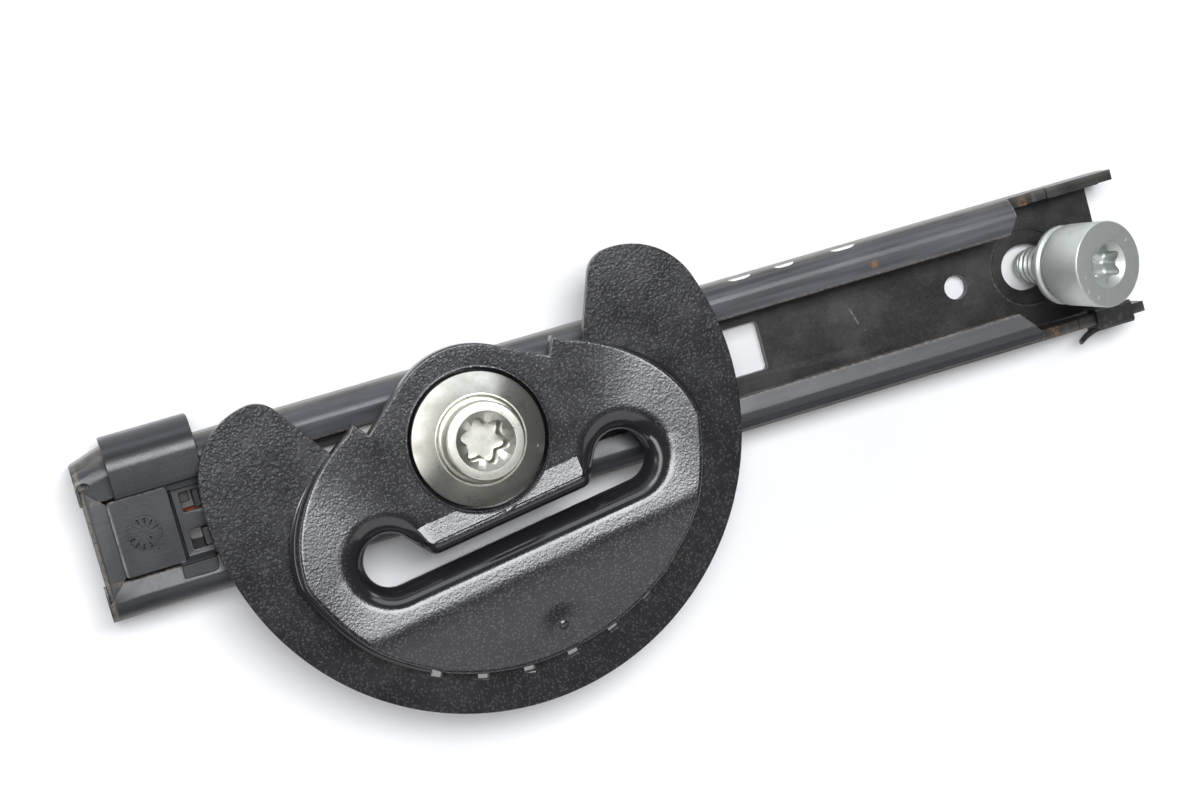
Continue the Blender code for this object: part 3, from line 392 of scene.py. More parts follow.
LAST_WINDOW_END = 59.8
EAR_NOTCH = (115.2, 119.6)
DENT = (-67.9, 10.6, 12.6)
PAINTED_GLINTS = ((56.7, 2.4), (65.6, 2.1), (77.4, 2.6))    # painted glints on the upper flange's top edge: middle and half length


def rail_flare(x):
    """How far the upper wall swells outward under the clip."""
    rise = min(1.0, (x - RAIL_LEFT) / FLARE_RISE)
    fall = smooth_step((FLARE_END - x) / FLARE_FALL)
    return END_FLARE * (0.2 + 0.8 * rise) * fall


def edge_section():
    """Section of the pressed edge as (inward, z), under the base, over the rolled flange and back."""
    reach = (RAIL_WIDTH - RAIL_OPENING) / 2
    high = (BEND_TOP, RAIL_HEIGHT - BEND_TOP)
    low = (BEND_LOW, BEND_LOW)
    lip = RAIL_HEIGHT - LIP_DROP
    outside = arc(low, BEND_LOW, 270, 180, 6) + arc(high, BEND_TOP, 180, 97, 12)
    nose = fillet([outside[-1], (reach, lip), (reach, lip - SHEET), (BEND_TOP, RAIL_HEIGHT - SHEET)],
                  0.45, 3, closed=False)[1:-1]
    inside = arc(high, BEND_TOP - SHEET, 90, 180, 8) + arc(low, BEND_LOW - SHEET, 180, 270, 4)
    return outside + nose + inside


def rail_shape():
    """Both edges and the base as one section, drawn along the rail."""
    half = RAIL_WIDTH / 2
    reach = half - RAIL_OPENING / 2
    swelling = [FLARE_END - FLARE_FALL * i / 12 for i in range(13)]
    stations = [EAR_RIGHT] + swelling + [RAIL_LEFT + FLARE_RISE, RAIL_LEFT]
    rows = []
    for x in stations:
        flare = rail_flare(x)
        upper = [(x, half - d + flare * max(0.0, reach - d) / reach, z) for d, z in edge_section()]
        lower = [(x, d - half, z) for d, z in reversed(edge_section())]
        rows.append(upper + lower)
    return skin(rows)


def end_wall_shape():
    """The base folded up at the closed end, with a lip that is mitred between the flanges."""
    left, low = WALL_LEFT, BEND_LOW
    section = arc((left + low, low), low, 270, 180, 6)
    section += arc((left + 1.3, RAIL_HEIGHT - 1.45), 1.3, 180, 96, 6)
    section += [(LIP_LEFT, RAIL_HEIGHT - 0.7), (LIP_LEFT, RAIL_HEIGHT - 2.5),
                (left + SHEET, RAIL_HEIGHT - 2.3)]
    section += arc((left + low, low), low - SHEET, 180, 270, 3)
    section += [(left + low + 1, SHEET), (left + low + 1, 0)]
    rows = []
    for side in (-1, 1):
        rows.append([(x, side * (WALL_HALF - max(0.0, x - left) * (z > 9.5)), z) for x, z in section])
    return skin(rows)


rail_steel = dark_steel("rail primer", (0.011, 0.010, 0.010), (0.052, 0.047, 0.043), 0.34)
along, across, up = rail_steel.axes()
on_top = up.ramp(9.0, 11.6)
far_wall = abs(across).ramp(13.0, 15.0)
streak = rail_steel.noise(1.1, 2, 0.5, stretch=(0.06, 1.0, 1.0))
closed_end = along.ramp(-55, -62)
# painted reflection: a bluish cast on the rolled tops, which also clears the dust clouds there; weaker on the
# upper flange
painted_blue_cast = on_top * 0.75 * (1 - across.ramp(-4, 4) * 0.3)
tint = rail_steel.mix(painted_blue_cast, rail_steel.tint, (0.014, 0.016, 0.021))
# film is a painted sheen: streaky grey on the rolled tops, lighter on the upper flange where the lamps fall
# and dimmer towards the closed end
film = on_top * (streak.ramp(0.30, 0.72) * 0.6 + 0.25) * (across.ramp(-4, 4) * 0.75 + 0.25)
film = film * (1 - closed_end * 0.6)
tint = rail_steel.mix(film, tint, (0.085, 0.088, 0.098))
lip_line = abs(along + 68.6).ramp(0.55, 0.25) * on_top * rail_steel.fleck.ramp(0.35, 0.55)
tint = rail_steel.mix(lip_line * 0.7, tint, (0.16, 0.14, 0.11))
tint = rail_steel.mix(far_wall * rail_steel.cloud.ramp(0.25, 0.6) * 0.75, tint, (0.20, 0.18, 0.145))
rust = rail_steel.noise(0.7, 4, 0.7)
patches = rail_steel.noise(6.0, 2, 0.5)
cut_edge = abs(abs(across) - 7.4).ramp(0.55, 0.15) * up.ramp(9.6, 10.6)
tint = rail_steel.mix(cut_edge * rust.ramp(0.42, 0.60) * 0.6, tint, (0.17, 0.135, 0.10))
ear_edge = along.ramp(110.5, 111.5) * up.ramp(8.2, 8.7)
worn = ear_edge * rust.ramp(0.42, 0.58) * abs(along - 114.6).ramp(1.8, 0.6) * patches.ramp(0.35, 0.5)
tint = rail_steel.mix(worn * 0.8, tint, (0.14, 0.075, 0.035))
# tool marks on the ear's edge, painted pale as their highlight
struck_highlight = abs(abs(along - 114.2) - 2.8).ramp(0.45, 0.2)
tint = rail_steel.mix(ear_edge * struck_highlight * rust.ramp(0.35, 0.5), tint, (0.17, 0.17, 0.19))
dot = ((along - 81.7) ** 2 + (across - 9.4) ** 2) ** 0.5
tint = rail_steel.mix((dot + rust * 1.2).ramp(1.5, 0.9) * 0.8, tint, (0.20, 0.09, 0.035))
seat_edge = abs(((along - 115.0) ** 2 + across ** 2) ** 0.5 - 7.6)
rubbed = seat_edge.ramp(0.3, 0.1) * up.ramp(3.0, 2.5) * rust.ramp(0.42, 0.58) * patches.ramp(0.46, 0.54)
tint = rail_steel.mix(rubbed * 0.35, tint, (0.19, 0.17, 0.15))
# painted glints: three pale lens-shaped spots along the upper flange's top edge
for middle, half in PAINTED_GLINTS:
    glint_shape = (1 - ((along - middle) / half) ** 4) * 0.5 + across - 13.95
    tint = rail_steel.mix(glint_shape.ramp(0.0, 0.1) * up.ramp(8.9, 9.3), tint, (0.74, 0.74, 0.76))
scratch = (abs(along - 78.6 + across * 0.30) + abs(across - 0.2).ramp(1.6, 2.2) * 3).ramp(0.28, 0.05)
tint = rail_steel.mix(scratch * up.ramp(3.0, 2.5) * rust.ramp(0.40, 0.55) * 0.6, tint, (0.22, 0.20, 0.18))
rough = 0.33 + on_top * 0.07 + (rail_steel.cloud - 0.5) * 0.25 + (rail_steel.fleck - 0.5) * 0.12
rail_steel.feed(Base_Color=tint, Roughness=rough)

rail = piece("pressed_rail", rail_shape(), rail_steel)
mitre = LIP_LEFT - WALL_LEFT
under_mitre = [(WALL_LEFT - 0.02, WALL_HALF + 0.05), (LIP_LEFT - 0.1, WALL_HALF - mitre + 0.15),
               (LIP_LEFT - 0.1, -WALL_HALF + mitre - 0.15), (WALL_LEFT - 0.02, -WALL_HALF - 0.05)]
shape_with(rail, "DIFFERENCE", prism(under_mitre, 7.0, RAIL_HEIGHT + 2))
shape_with(rail, "DIFFERENCE", box((RAIL_LEFT - 2, WALL_LEFT + BEND_LOW + 0.5),
                                   (-WALL_HALF, WALL_HALF), (-1, 9)))
shape_with(rail, "UNION", end_wall_shape())
dent = [[(DENT[0] + 1.25 * math.cos(a) * math.cos(b), DENT[1] + 0.85 * math.sin(a) * math.cos(b),
          DENT[2] + 0.9 * math.sin(b)) for a in np.linspace(0, 2 * math.pi, 25)[:-1]]
        for b in np.linspace(-1.5, 1.5, 13)]
shape_with(rail, "DIFFERENCE", skin(dent))
wide = RAIL_WIDTH
lip = RAIL_OPENING / 2
above_ears = [(FLANGE_RIGHT, wide), (FLANGE_RIGHT, lip + 3.4), (FLANGE_RIGHT - 2.0, lip),
              (FLANGE_RIGHT - 4.2, -lip), (FLANGE_RIGHT, -lip - 5.2), (FLANGE_RIGHT, -wide),
              (EAR_RIGHT + 5, -wide), (EAR_RIGHT + 5, wide)]
shape_with(rail, "DIFFERENCE", prism(above_ears, EAR_HEIGHT, RAIL_HEIGHT + 2))
shape_with(rail, "DIFFERENCE", box(EAR_NOTCH, (-wide, wide), (EAR_HEIGHT - 0.5, RAIL_HEIGHT + 3)))
within = RAIL_WIDTH / 2 - SHEET
shape_with(rail, "DIFFERENCE", box((BASE_RIGHT, EAR_RIGHT + 5), (-within, within), (-1, RAIL_HEIGHT)))
holes = []
for i in range(WINDOW_COUNT):
    right = LAST_WINDOW_END - WINDOW_PITCH * i
    left = right - WINDOW_LENGTH
    window = [(right, WINDOW_HALF), (left, WINDOW_HALF), (left, -WINDOW_HALF), (right, -WINDOW_HALF)]
    holes.append(prism(fillet(window, 0.8, 5), -1, SHEET + 1))
holes.append(prism(arc((LOCATING_HOLE[0], 0), LOCATING_HOLE[1], 0, 352.5, 47), -1, SHEET + 1))
x, stretch, radius = MOUNT_HOLE
oblong = arc((x + stretch, 0), radius, -90, 90, 24) + arc((x, 0), radius, 90, 270, 24)
holes.append(prism(oblong, -1, SHEET + 1))
shape_with(rail, "DIFFERENCE", several(*holes))
turns = [2 * math.pi * i / 64 for i in range(64)]
seat = [[(x + stretch + r * math.cos(a), r * math.sin(a), z) for a in turns]
        for r, z in ((MOUNT_SEAT_R - 0.15, SHEET - 0.15), (MOUNT_SEAT_R + 1.0, SHEET + 1))]
shape_with(rail, "DIFFERENCE", skin(seat))
soften(rail, 0.16, 42, clamp=True)
dress(rail, "rail", "rail")

# End cap: one moulding of grey-black plastic, clipped over the upper flange. Its panel closes
# the channel's mouth, with a raised plate, two windows, a tongue over the lower flange and a
# long arm along the upper one.
CAP_LEFT = -65.0
CAP_STEP = -54.1
CAP_RIGHT = -46.6
CLIP = (-63.2, -47.3)


def plastic(name, colour, grain, depth, roughness=0.45, dust=(0.11, 0.10, 0.09), dust_and_glint_share=0.3, bare=None,
            turn=None, ior=1.5):
    """Moulded plastic with a fine eroded grain, light specks on it that are dust and painted glints; bare is
    1 where it is smooth.
    """
    moulded = Finish(name, turn, IOR=ior)
    cloud = moulded.noise(7, 3, 0.6)
    grit = moulded.noise(grain, 2, 0.55)
    pits = moulded.cells(grain * 1.7)
    height = grit + pits * 0.6
    rough = roughness + (cloud - 0.5) * 0.2
    dust_and_glint_specks = (pits + grit * 0.5).ramp(0.68, 0.46)
    if bare is not None:
        smooth = bare(moulded)
        height = height * (1 - smooth)
        dust_and_glint_specks = dust_and_glint_specks * (1 - smooth)
        rough = rough - smooth * (roughness * 0.35)
    # the grain's specks take the dust colour: partly dust, partly painted glints of the grain's sparkle
    tint = moulded.mix(dust_and_glint_specks * (cloud.ramp(0.2, 0.8) * 0.5 + 0.5) * dust_and_glint_share, colour, dust)
    moulded.feed(Base_Color=tint, Roughness=rough, Normal=moulded.relief(height, depth))
    moulded.tint = tint
    return moulded


cap_plastic = plastic("cap plastic", (0.016, 0.017, 0.020), 0.32, 0.010, 0.32, (0.05, 0.05, 0.055), 0.15)
along, across, up = cap_plastic.axes()
# painted highlight along the plate's left and top edges, which face the lamps, broken up by noise
left_edge = (along + 65.0).ramp(0.55, 0.2)
top_edge = abs(across - 6.8).ramp(0.25, 0.1) * along.ramp(-54.0, -54.6) * up.ramp(12.0, 12.2)
broken = cap_plastic.noise(1.4, 3).ramp(0.3, 0.5)
painted_edge_highlight = (left_edge.most(top_edge) * up.ramp(11.2, 11.6) * broken).least(1.0)
dial = ((along + 60.0) ** 2 + across ** 2) ** 0.5
grimy = dial.ramp(3.5, 3.1) * cap_plastic.noise(0.6, 3, 0.7).ramp(0.38, 0.52)
tint = cap_plastic.mix(grimy * 0.75, cap_plastic.tint, (0.006, 0.006, 0.007))
cap_plastic.feed(Base_Color=cap_plastic.mix(painted_edge_highlight * 0.75, tint, (0.19, 0.19, 0.20)))
PLATE_HALF = 6.95
PLATE_TOP = RAIL_HEIGHT - 0.1
PANEL_TOP = RAIL_HEIGHT - 0.9
wall = RAIL_WIDTH / 2 + END_FLARE + 0.1
top = RAIL_HEIGHT + 0.3
high = BEND_TOP
section = [(PLATE_HALF - 0.7, PANEL_TOP - 1), (PLATE_HALF - 0.7, PLATE_TOP - 0.1),
           (PLATE_HALF, PLATE_TOP - 0.1), (PLATE_HALF, top)]
section += list(reversed(arc((wall - high, top - high), high, 0, 90, 12)))
section += fillet([(wall, 5.0), (wall, 3.6), (wall + 1.5, 3.6), (wall + 1.5, 5.0)], [0, 0.3, 0.3, 0], 3)
section += arc((wall - high, top - high), high + 1.5, 0, 90, 14)
section += fillet([(PLATE_HALF + 1, top + 1.35), (PLATE_HALF + 0.1, top + 1.2), (PLATE_HALF, PLATE_TOP),
                   (PLATE_HALF - 1.2, PLATE_TOP - 0.1), (PLATE_HALF - 1.2, PANEL_TOP - 1)],
                  [0, 0.5, 0, 0, 0], 3)
cap = piece("clip_cap", skin([[(x, y, z) for y, z in section] for x in CLIP]), cap_plastic)
shape_with(cap, "UNION", prism(rounded_box((CAP_LEFT + 0.3, CAP_RIGHT), (-PLATE_HALF, PLATE_HALF - 0.3), 0.8),
                               PANEL_TOP - 1.5, PANEL_TOP))
shape_with(cap, "UNION", prism(rounded_box((CAP_LEFT, CAP_STEP - 0.1), (-PLATE_HALF, PLATE_HALF - 0.05), 0.7),
                               PANEL_TOP - 1.0, PLATE_TOP))
edge, tab_top = -PLATE_HALF, RAIL_HEIGHT + 0.45
wedge = [(edge + 0.7, PANEL_TOP - 0.9), (edge + 0.7, PANEL_TOP), (edge - 0.3, tab_top), (edge - 0.5, tab_top),
         (edge - 0.5, RAIL_HEIGHT), (edge, PANEL_TOP - 0.9)]
shape_with(cap, "UNION", skin([[(x, y, z) for y, z in reversed(wedge)] for x in (-55.4, -49.1)]))
tab = fillet([(-49.1, -7.3), (-55.4, -7.3), (-55.5, -9.7), (-49.0, -9.9)], [0, 0, 0.3, 1.1], 6)
shape_with(cap, "UNION", prism(tab, RAIL_HEIGHT + 0.05, tab_top))
shape_with(cap, "UNION", box((CLIP[1] - 2, -17.0), (lip + 0.2, lip + 2.4), (top + 0.05, top + 0.95)))
for x, y in (((-52.7, -50.8), (3.0, 5.9)), ((-50.1, -48.9), (1.6, 5.9)), ((-50.1, -48.9), (-5.9, -2.2))):
    shape_with(cap, "UNION", box(x, y, (SHEET + 0.6, PANEL_TOP - 1)))
openings = [box((-52.45, -49.0), side, (PANEL_TOP - 2, RAIL_HEIGHT)) for side in ((1.45, 5.0), (-5.35, -1.8))]
openings.append(box((-48.95, CAP_RIGHT - 1.2), (-1.5, 1.1), (PANEL_TOP - 2, RAIL_HEIGHT)))
openings.append(box((CAP_STEP - 0.05, CAP_STEP + 0.35), (-PLATE_HALF + 0.5, PLATE_HALF - 0.9),
                    (PANEL_TOP - 0.35, RAIL_HEIGHT)))
for opening in openings:
    shape_with(cap, "DIFFERENCE", opening)
soften(cap, 0.16, 42)
# dial mark on the plate: a ring of ticks round a pointer
DIAL = (-60.0, 0.0)
cut_z = (PLATE_TOP - 0.22, PLATE_TOP + 1)


def dial_mark(angle, outline):
    """A sunk mark, turned about the dial's centre."""
    return moved(prism(outline, *cut_z), Matrix.Rotation(math.radians(angle), 4, "Z"))


ring = [(2.86, cut_z[0]), (3.14, cut_z[0]), (3.14, cut_z[1]), (2.86, cut_z[1]), (2.86, cut_z[0])]
marks = [turned(ring, 96)]
for i in range(24):
    inner = 1.8 if i % 2 else 2.1
    marks.append(dial_mark(15 * i, [(inner, -0.12), (2.72, -0.2), (2.72, 0.2), (inner, 0.12)]))
marks += [dial_mark(30 * i + 12, [(1.0, -0.12), (1.6, -0.2), (1.6, 0.2), (1.0, 0.12)]) for i in range(12)]
marks.append(dial_mark(-38, [(-0.8, -0.14), (0.7, -0.2), (1.0, 0), (0.7, 0.2), (-0.8, 0.14)]))
marks += [dial_mark(-76 + 13 * i, [(3.5, -0.12), (3.95, -0.2), (3.95, 0.2), (3.5, 0.12)]) for i in range(5)]
shape_with(cap, "DIFFERENCE", several(*marks), at=(*DIAL, 0))
flatten(cap)
dress(cap, "rail", "end_cap")

# Buffer: a block of orange rubber in the channel's closed end, which stops the carriage. It
# shows through the cap's windows.
orange_rubber = Finish("orange rubber", Roughness=0.55)
bloom = orange_rubber.noise(1.5, 3).ramp(0.4, 0.65)
orange_rubber.feed(Base_Color=orange_rubber.mix(bloom, (0.66, 0.12, 0.03), (0.76, 0.27, 0.13)),
                   Normal=orange_rubber.relief(orange_rubber.noise(0.3, 2), 0.02))
finish_node("end_buffer", orange_rubber)

# Carriage plate, spring bridge, release lever and pivot nut: small pressings and a turned
# nut, phosphated dark grey and lightly oiled.
phosphate = dark_steel("phosphated steel", (0.055, 0.055, 0.055), (0.13, 0.125, 0.12), 0.38)
for name in ("carriage_plate", "spring_bridge", "release_lever", "pivot_nut"):
    finish_node(name, phosphate)

# Slide shoes: natural nylon mouldings over both ends of the carriage plate, which fill the
# channel and run along it.
nylon = plastic("slide nylon", (0.62, 0.60, 0.55), 0.6, 0.006, 0.40, (0.50, 0.46, 0.38))
for name in ("slide_shoe_lower", "slide_shoe_upper"):
    finish_node(name, nylon)

# Lock pin, lever pin and spacer: bright turned steel. The lock spring and the wave washer
# are dark spring steel.


def turned_metal(name, colour, stain, roughness, pitch=0.25, depth=0.004, turn=None):
    """Turned metal: fine rings about its own axis, clouded and a little stained."""
    metal = Finish(name, turn, Metallic=1.0)
    x, y, z = metal.axes()
    radius = (x * x + y * y) ** 0.5
    lines = metal.node("CombineXYZ", inputs={0: radius / pitch, 1: z / (pitch * 2)})
    rings = metal.node("TexNoise", inputs={"Vector": lines, "Scale": 1.0, "Detail": 2.0})
    cloud = metal.noise(3.0, 4, 0.6)
    fine = metal.noise(0.35, 3, 0.6)
    tint = metal.mix(cloud.ramp(0.45, 0.75) * 0.7, colour, stain)
    metal.feed(Base_Color=tint, Roughness=roughness + (cloud - 0.5) * 0.25 + (fine - 0.5) * 0.2,
               Normal=metal.relief(rings + fine * 0.6, depth))
    metal.tint, metal.radius = tint, radius
    return metal


bright_steel = turned_metal("bright steel", (0.62, 0.61, 0.58), (0.45, 0.42, 0.37), 0.30)
for name in ("lock_pin", "lever_pin", "spacer_washer"):
    finish_node(name, bright_steel)
spring_steel = turned_metal("spring steel", (0.30, 0.30, 0.31), (0.20, 0.19, 0.18), 0.34)
for name in ("lock_spring", "wave_washer"):
    finish_node(name, spring_steel)

# Pivot bush: a flanged sleeve of white acetal that the guide swings on, between the spacer
# and the wave washer.
acetal = plastic("bush acetal", (0.78, 0.77, 0.72), 0.9, 0.004, 0.35, (0.66, 0.63, 0.56))
finish_node("pivot_bush", acetal)

# Pivot bolt: turned steel, zinc plated with a faint yellow cast. A broad cone holds the guide
# down, and a six-lobed recess takes the driver.
CONE_R = 12.0
BOLT_RIM = 19.85               # z of the cone's rim
HEAD_TOP = BOLT_RIM + 8.0
BUSH_TOP = 18.4
STAMP_R = 10.2                 # how far out the marks on the cone stand
LOBE_STEPS = 144


def lobes(radius, shrink):
    """Outline of a six-lobed drive whose tips reach the radius."""
    out = []
    for i in range(LOBE_STEPS):
        a = 2 * math.pi * i / LOBE_STEPS
        r = radius * (0.865 + 0.135 * math.cos(6 * a)) - shrink
        out.append((r * math.cos(a), r * math.sin(a)))
    return out


def drive_recess(obj, top, depth, angle, radius, at=(0, 0, 0), turn=None):
    """Six-lobed recess under a dished mouth."""
    dish = [(0, top - 1.1), (radius * 0.78, top - 1.1), (radius * 1.19, top - 0.12),
            (radius * 1.24, top + 0.4), (0, top + 0.4)]
    shape_with(obj, "DIFFERENCE", turned(dish, 96), at, turn)
    spin = math.radians(angle)
    rows = []
    for shrink, z in ((0.0, top + 0.5), (0.0, top - depth), (0.5, top - depth - 0.4)):
        rows.append([(x * math.cos(spin) - y * math.sin(spin), x * math.sin(spin) + y * math.cos(spin), z)
                     for x, y in lobes(radius, shrink)])
    shape_with(obj, "DIFFERENCE", skin(rows), at, turn)


zinc = turned_metal("zinc plate", (0.55, 0.54, 0.49), (0.40, 0.38, 0.33), 0.33, 0.22, 0.005)
dots = zinc.cells(1.6)
old = zinc.noise(2.2, 3, 0.6)
rusty = dots.ramp(0.14, 0.05) * old.ramp(0.57, 0.64)
# a patchy darker olive ring at the groove round the step under the head
step_ring_tint = abs(zinc.radius - 7.9).ramp(0.30, 0.1) * old.ramp(0.35, 0.60) * 0.6
mottle = zinc.noise(0.5, 3, 0.7).ramp(0.45, 0.62)
tint = zinc.mix(mottle * 0.35, zinc.tint, (0.42, 0.43, 0.42))
tint = zinc.mix(rusty, tint, (0.42, 0.24, 0.15))
zinc.feed(Base_Color=zinc.mix(step_ring_tint, tint, (0.20, 0.18, 0.11)))
under = BUSH_TOP + 0.15 + 0.25 + 0.24 + 0.15    # the wave washer lies between, with its play
cone_low = BOLT_RIM + 0.55
step = BOLT_RIM + 3.15
profile = fillet([(0, 3.3), (4.5, 3.3), (5.3, 4.2), (5.3, 14.95), (7.0, 14.95), (7.0, under), (CONE_R, under),
                  (CONE_R, cone_low), (8.2, step), (7.9, step + 0.02), (7.5, step - 0.35), (7.0, step - 0.35),
                  (7.0, HEAD_TOP), (0, HEAD_TOP)],
                 [0, 0.1, 0.1, 0.1, 0.1, 0.1, 0.2, 0.25, 0.15, 0.1, 0.1, 0.05, 0.40, 0], 4)
bolt = piece("pivot_screw", turned(profile), zinc, sharp=28)
drive_recess(bolt, HEAD_TOP, 4.4, 37, 4.4)
# a cross and a round dot stamped on the cone
for angle, outline in ((171, [(-0.55, -0.12), (0.55, -0.12), (0.55, 0.12), (-0.55, 0.12)]),
                       (171, [(-0.12, -0.75), (0.12, -0.75), (0.12, 0.75), (-0.12, 0.75)]),
                       (-22, arc((0, 0), 0.5, 0, 330, 11))):
    spot = Matrix.Rotation(math.radians(angle), 4, "Z") @ Matrix.Translation((STAMP_R, 0, BOLT_RIM + 1.84))
    spot = spot @ Matrix.Rotation(math.radians(35), 4, "Y")
    shape_with(bolt, "DIFFERENCE", moved(prism(outline, -0.08, 1.0), spot))
dress(bolt, "carriage", "pivot_bolt")

# Belt guide: glossy-black nylon with a fine eroded grain. A flat boss plate carries the
# pivot; the face sweeps up from it to a crest under the belt's slot and falls away to the rim.
GUIDE_TURN = Matrix.Rotation(math.radians(7.6), 4, "Z")
GUIDE_FOOT_Z = 17.1
GUIDE_FACE_Z = 20.2
GUIDE_CREST_Z = 23.6
GUIDE_HALF = 38.3
GUIDE_WAIST = 12.0
GUIDE_LOWER_R = 42.5
GUIDE_WALL = 2.4
SHOULDER_RISE = 26.4
BOSS_ANGLE = 33.5
BOSS_R = 15.4
BOSS_CENTRE = 1.65             # boss arc's centre, above the pivot
BOSS_EDGE = 0.45               # edge radius along the boss
NOTCH_U = 17.5
TIP_U = 19.4
TIP_RISE = 2.9
FOOT_LIP = 1.2
FOOT_GAP = 55.0                # the foot is cut away below this direction
CREST_V = 25.0
RAMP = 0.15
RAMP_TURN = 35.5
RAMP_START = 21.2
SLOT_HALF = 22.6
SLOT_CENTRE = 13.5
SLOT_END_R = 4.8
SLOT_BOTTOM = SLOT_CENTRE + SLOT_END_R
SLOT_FLOOR = 18.3              # z of the ledge that the funnel ends on
LIP_V = 15.95
LIP_CORNER = (15.3, LIP_V)     # where the lip turns back into the slot's round end
LIP_FOOT = (18.39, 11.2)
PAD_V = (10.2, 13.8)           # the lip's two pads, from the plate to their upper edge
PAD_SLOPE = 0.30
DIMPLE = (0.9, 36.4, 5.4, 0.95)    # centre, radius and depth


def soft_most(a, b, blend):
    overlap = np.maximum(blend - np.abs(a - b), 0) / blend
    return np.maximum(a, b) + overlap * overlap * blend / 4


def face_height(u, v):
    """The moulded face without its edges."""
    turn = math.radians(RAMP_TURN)
    sweep = GUIDE_FACE_Z + RAMP * (np.abs(u) * math.cos(turn) + v * math.sin(turn) - RAMP_START)
    z = soft_most(GUIDE_FACE_Z + 0 * u, sweep, 0.65)
    band = GUIDE_CREST_Z - RAMP * (CREST_V - v) - 4 * RAMP * np.maximum(0, SLOT_CENTRE - v)
    z = np.where((v > SLOT_CENTRE) | (np.abs(u) > 26), soft_most(z, band, 0.6), z)
    fall = v - CREST_V
    dome = GUIDE_CREST_Z - 0.06 * fall - 0.0105 * np.maximum(fall, 0) ** 2
    z = -soft_most(-z, -dome, 0.25)
    away = np.hypot(u - DIMPLE[0], v - DIMPLE[1])
    t = np.clip(1 - away / DIMPLE[2], 0, 1)
    return z - DIMPLE[3] * t * t * (3 - 2 * t)


def slot_outline():
    """Right half of the webbing slot's edge from the middle of its lip round to the middle of
    its lower edge, as (u, v, reach) with the width of the funnel there."""
    points = [(u, LIP_V, 2.1) for u in np.linspace(0, 12.8, 22)]
    corner = fillet([(12.8, LIP_V), LIP_CORNER, LIP_FOOT], [0, 4.5, 0], 6, closed=False)[1:-1]
    points += [(u, v, 2.2) for u, v in corner]
    last = corner[-1]
    for i in range(1, 6):
        t = i / 6
        u, v = (a + (b - a) * t for a, b in zip(last, LIP_FOOT))
        points.append((u, v, 2.2 + 1.2 * t))
    start = math.degrees(math.atan2(LIP_FOOT[1] - SLOT_CENTRE, LIP_FOOT[0] - SLOT_HALF)) % 360
    for i in range(40):
        a = start + (450 - start) * i / 39
        u, v = arc((SLOT_HALF, SLOT_CENTRE), SLOT_END_R, a, a, 1)[0]
        points.append((u, v, 3.4 + 1.4 * smooth_step((a - start) / 100) - 1.0 * smooth_step((a - 360) / 90)))
    points += [(u, SLOT_BOTTOM, 3.8) for u in np.linspace(SLOT_HALF, 0, 32)[1:]]
    return points


def rim_outline():
    """Right half of the face's rim, with its edge radius and how far the foot stands out."""
    lean = math.radians(BOSS_ANGLE)
    boss = [(BOSS_R * math.sin(lean * i / 14), -BOSS_CENTRE - BOSS_R * math.cos(lean * i / 14))
            for i in range(15)]
    notch = (NOTCH_U, boss[-1][1] + (NOTCH_U - boss[-1][0]) * math.tan(lean))
    tip = (TIP_U, notch[1] - TIP_RISE)
    points = [(u, v, BOSS_EDGE, 0.0) for u, v in boss]
    for first, last, count in ((boss[-1], notch, 5), (notch, tip, 3)):
        for i in range(1, count + 1):
            u, v = (a + (b - a) * i / count for a, b in zip(first, last))
            points.append((u, v, BOSS_EDGE, 0.0))
    start = math.asin(tip[0] / GUIDE_HALF)
    for i in range(1, 31):
        t = start + (math.pi / 2 - start) * i / 30
        grow = smooth_step((i - 3) / 18)
        v = GUIDE_WAIST - SHOULDER_RISE * math.cos(t)
        points.append((GUIDE_HALF * math.sin(t), v, BOSS_EDGE + 0.3 * grow, FOOT_LIP * grow))
    low = math.degrees(math.atan2(GUIDE_WAIST, GUIDE_HALF))
    side_r = math.hypot(GUIDE_HALF, GUIDE_WAIST)
    for i in range(1, 21):
        a = low + (FOOT_GAP - low) * i / 20
        r = side_r + (GUIDE_LOWER_R - FOOT_LIP - side_r) * smooth_step(i / 14)
        points.append((*arc((0, 0), r, a, a, 1)[0], 0.75 + 0.3 * smooth_step(i / 20), FOOT_LIP))
    for i in range(29):
        a = FOOT_GAP + 0.2 + (90 - FOOT_GAP - 0.2) * i / 28
        r = GUIDE_LOWER_R - FOOT_LIP + 0.4 * smooth_step(i / 3)
        points.append((*arc((0, 0), r, a, a, 1)[0], 1.05 + 0.35 * smooth_step(i / 6), 0.0))
    return points


def mirrored(half):
    half = np.array(half, float)
    back = half[1:-1][::-1].copy()
    back[:, 0] *= -1
    return np.concatenate([half, back])


def slot_distance(u, v, outline):
    """Distance from the slot's edge, and the funnel's reach at the nearest point of it."""
    best = np.full(u.shape, 1e9)
    reach = np.zeros(u.shape)
    for a, b in zip(outline, np.roll(outline, -1, axis=0)):
        d = b[:2] - a[:2]
        t = np.clip(((u - a[0]) * d[0] + (v - a[1]) * d[1]) / max(d @ d, 1e-12), 0, 1)
        away = np.hypot(u - a[0] - t * d[0], v - a[1] - t * d[1])
        nearer = away < best
        best = np.where(nearer, away, best)
        reach = np.where(nearer, a[2] + t * (b[2] - a[2]), reach)
    return best, reach


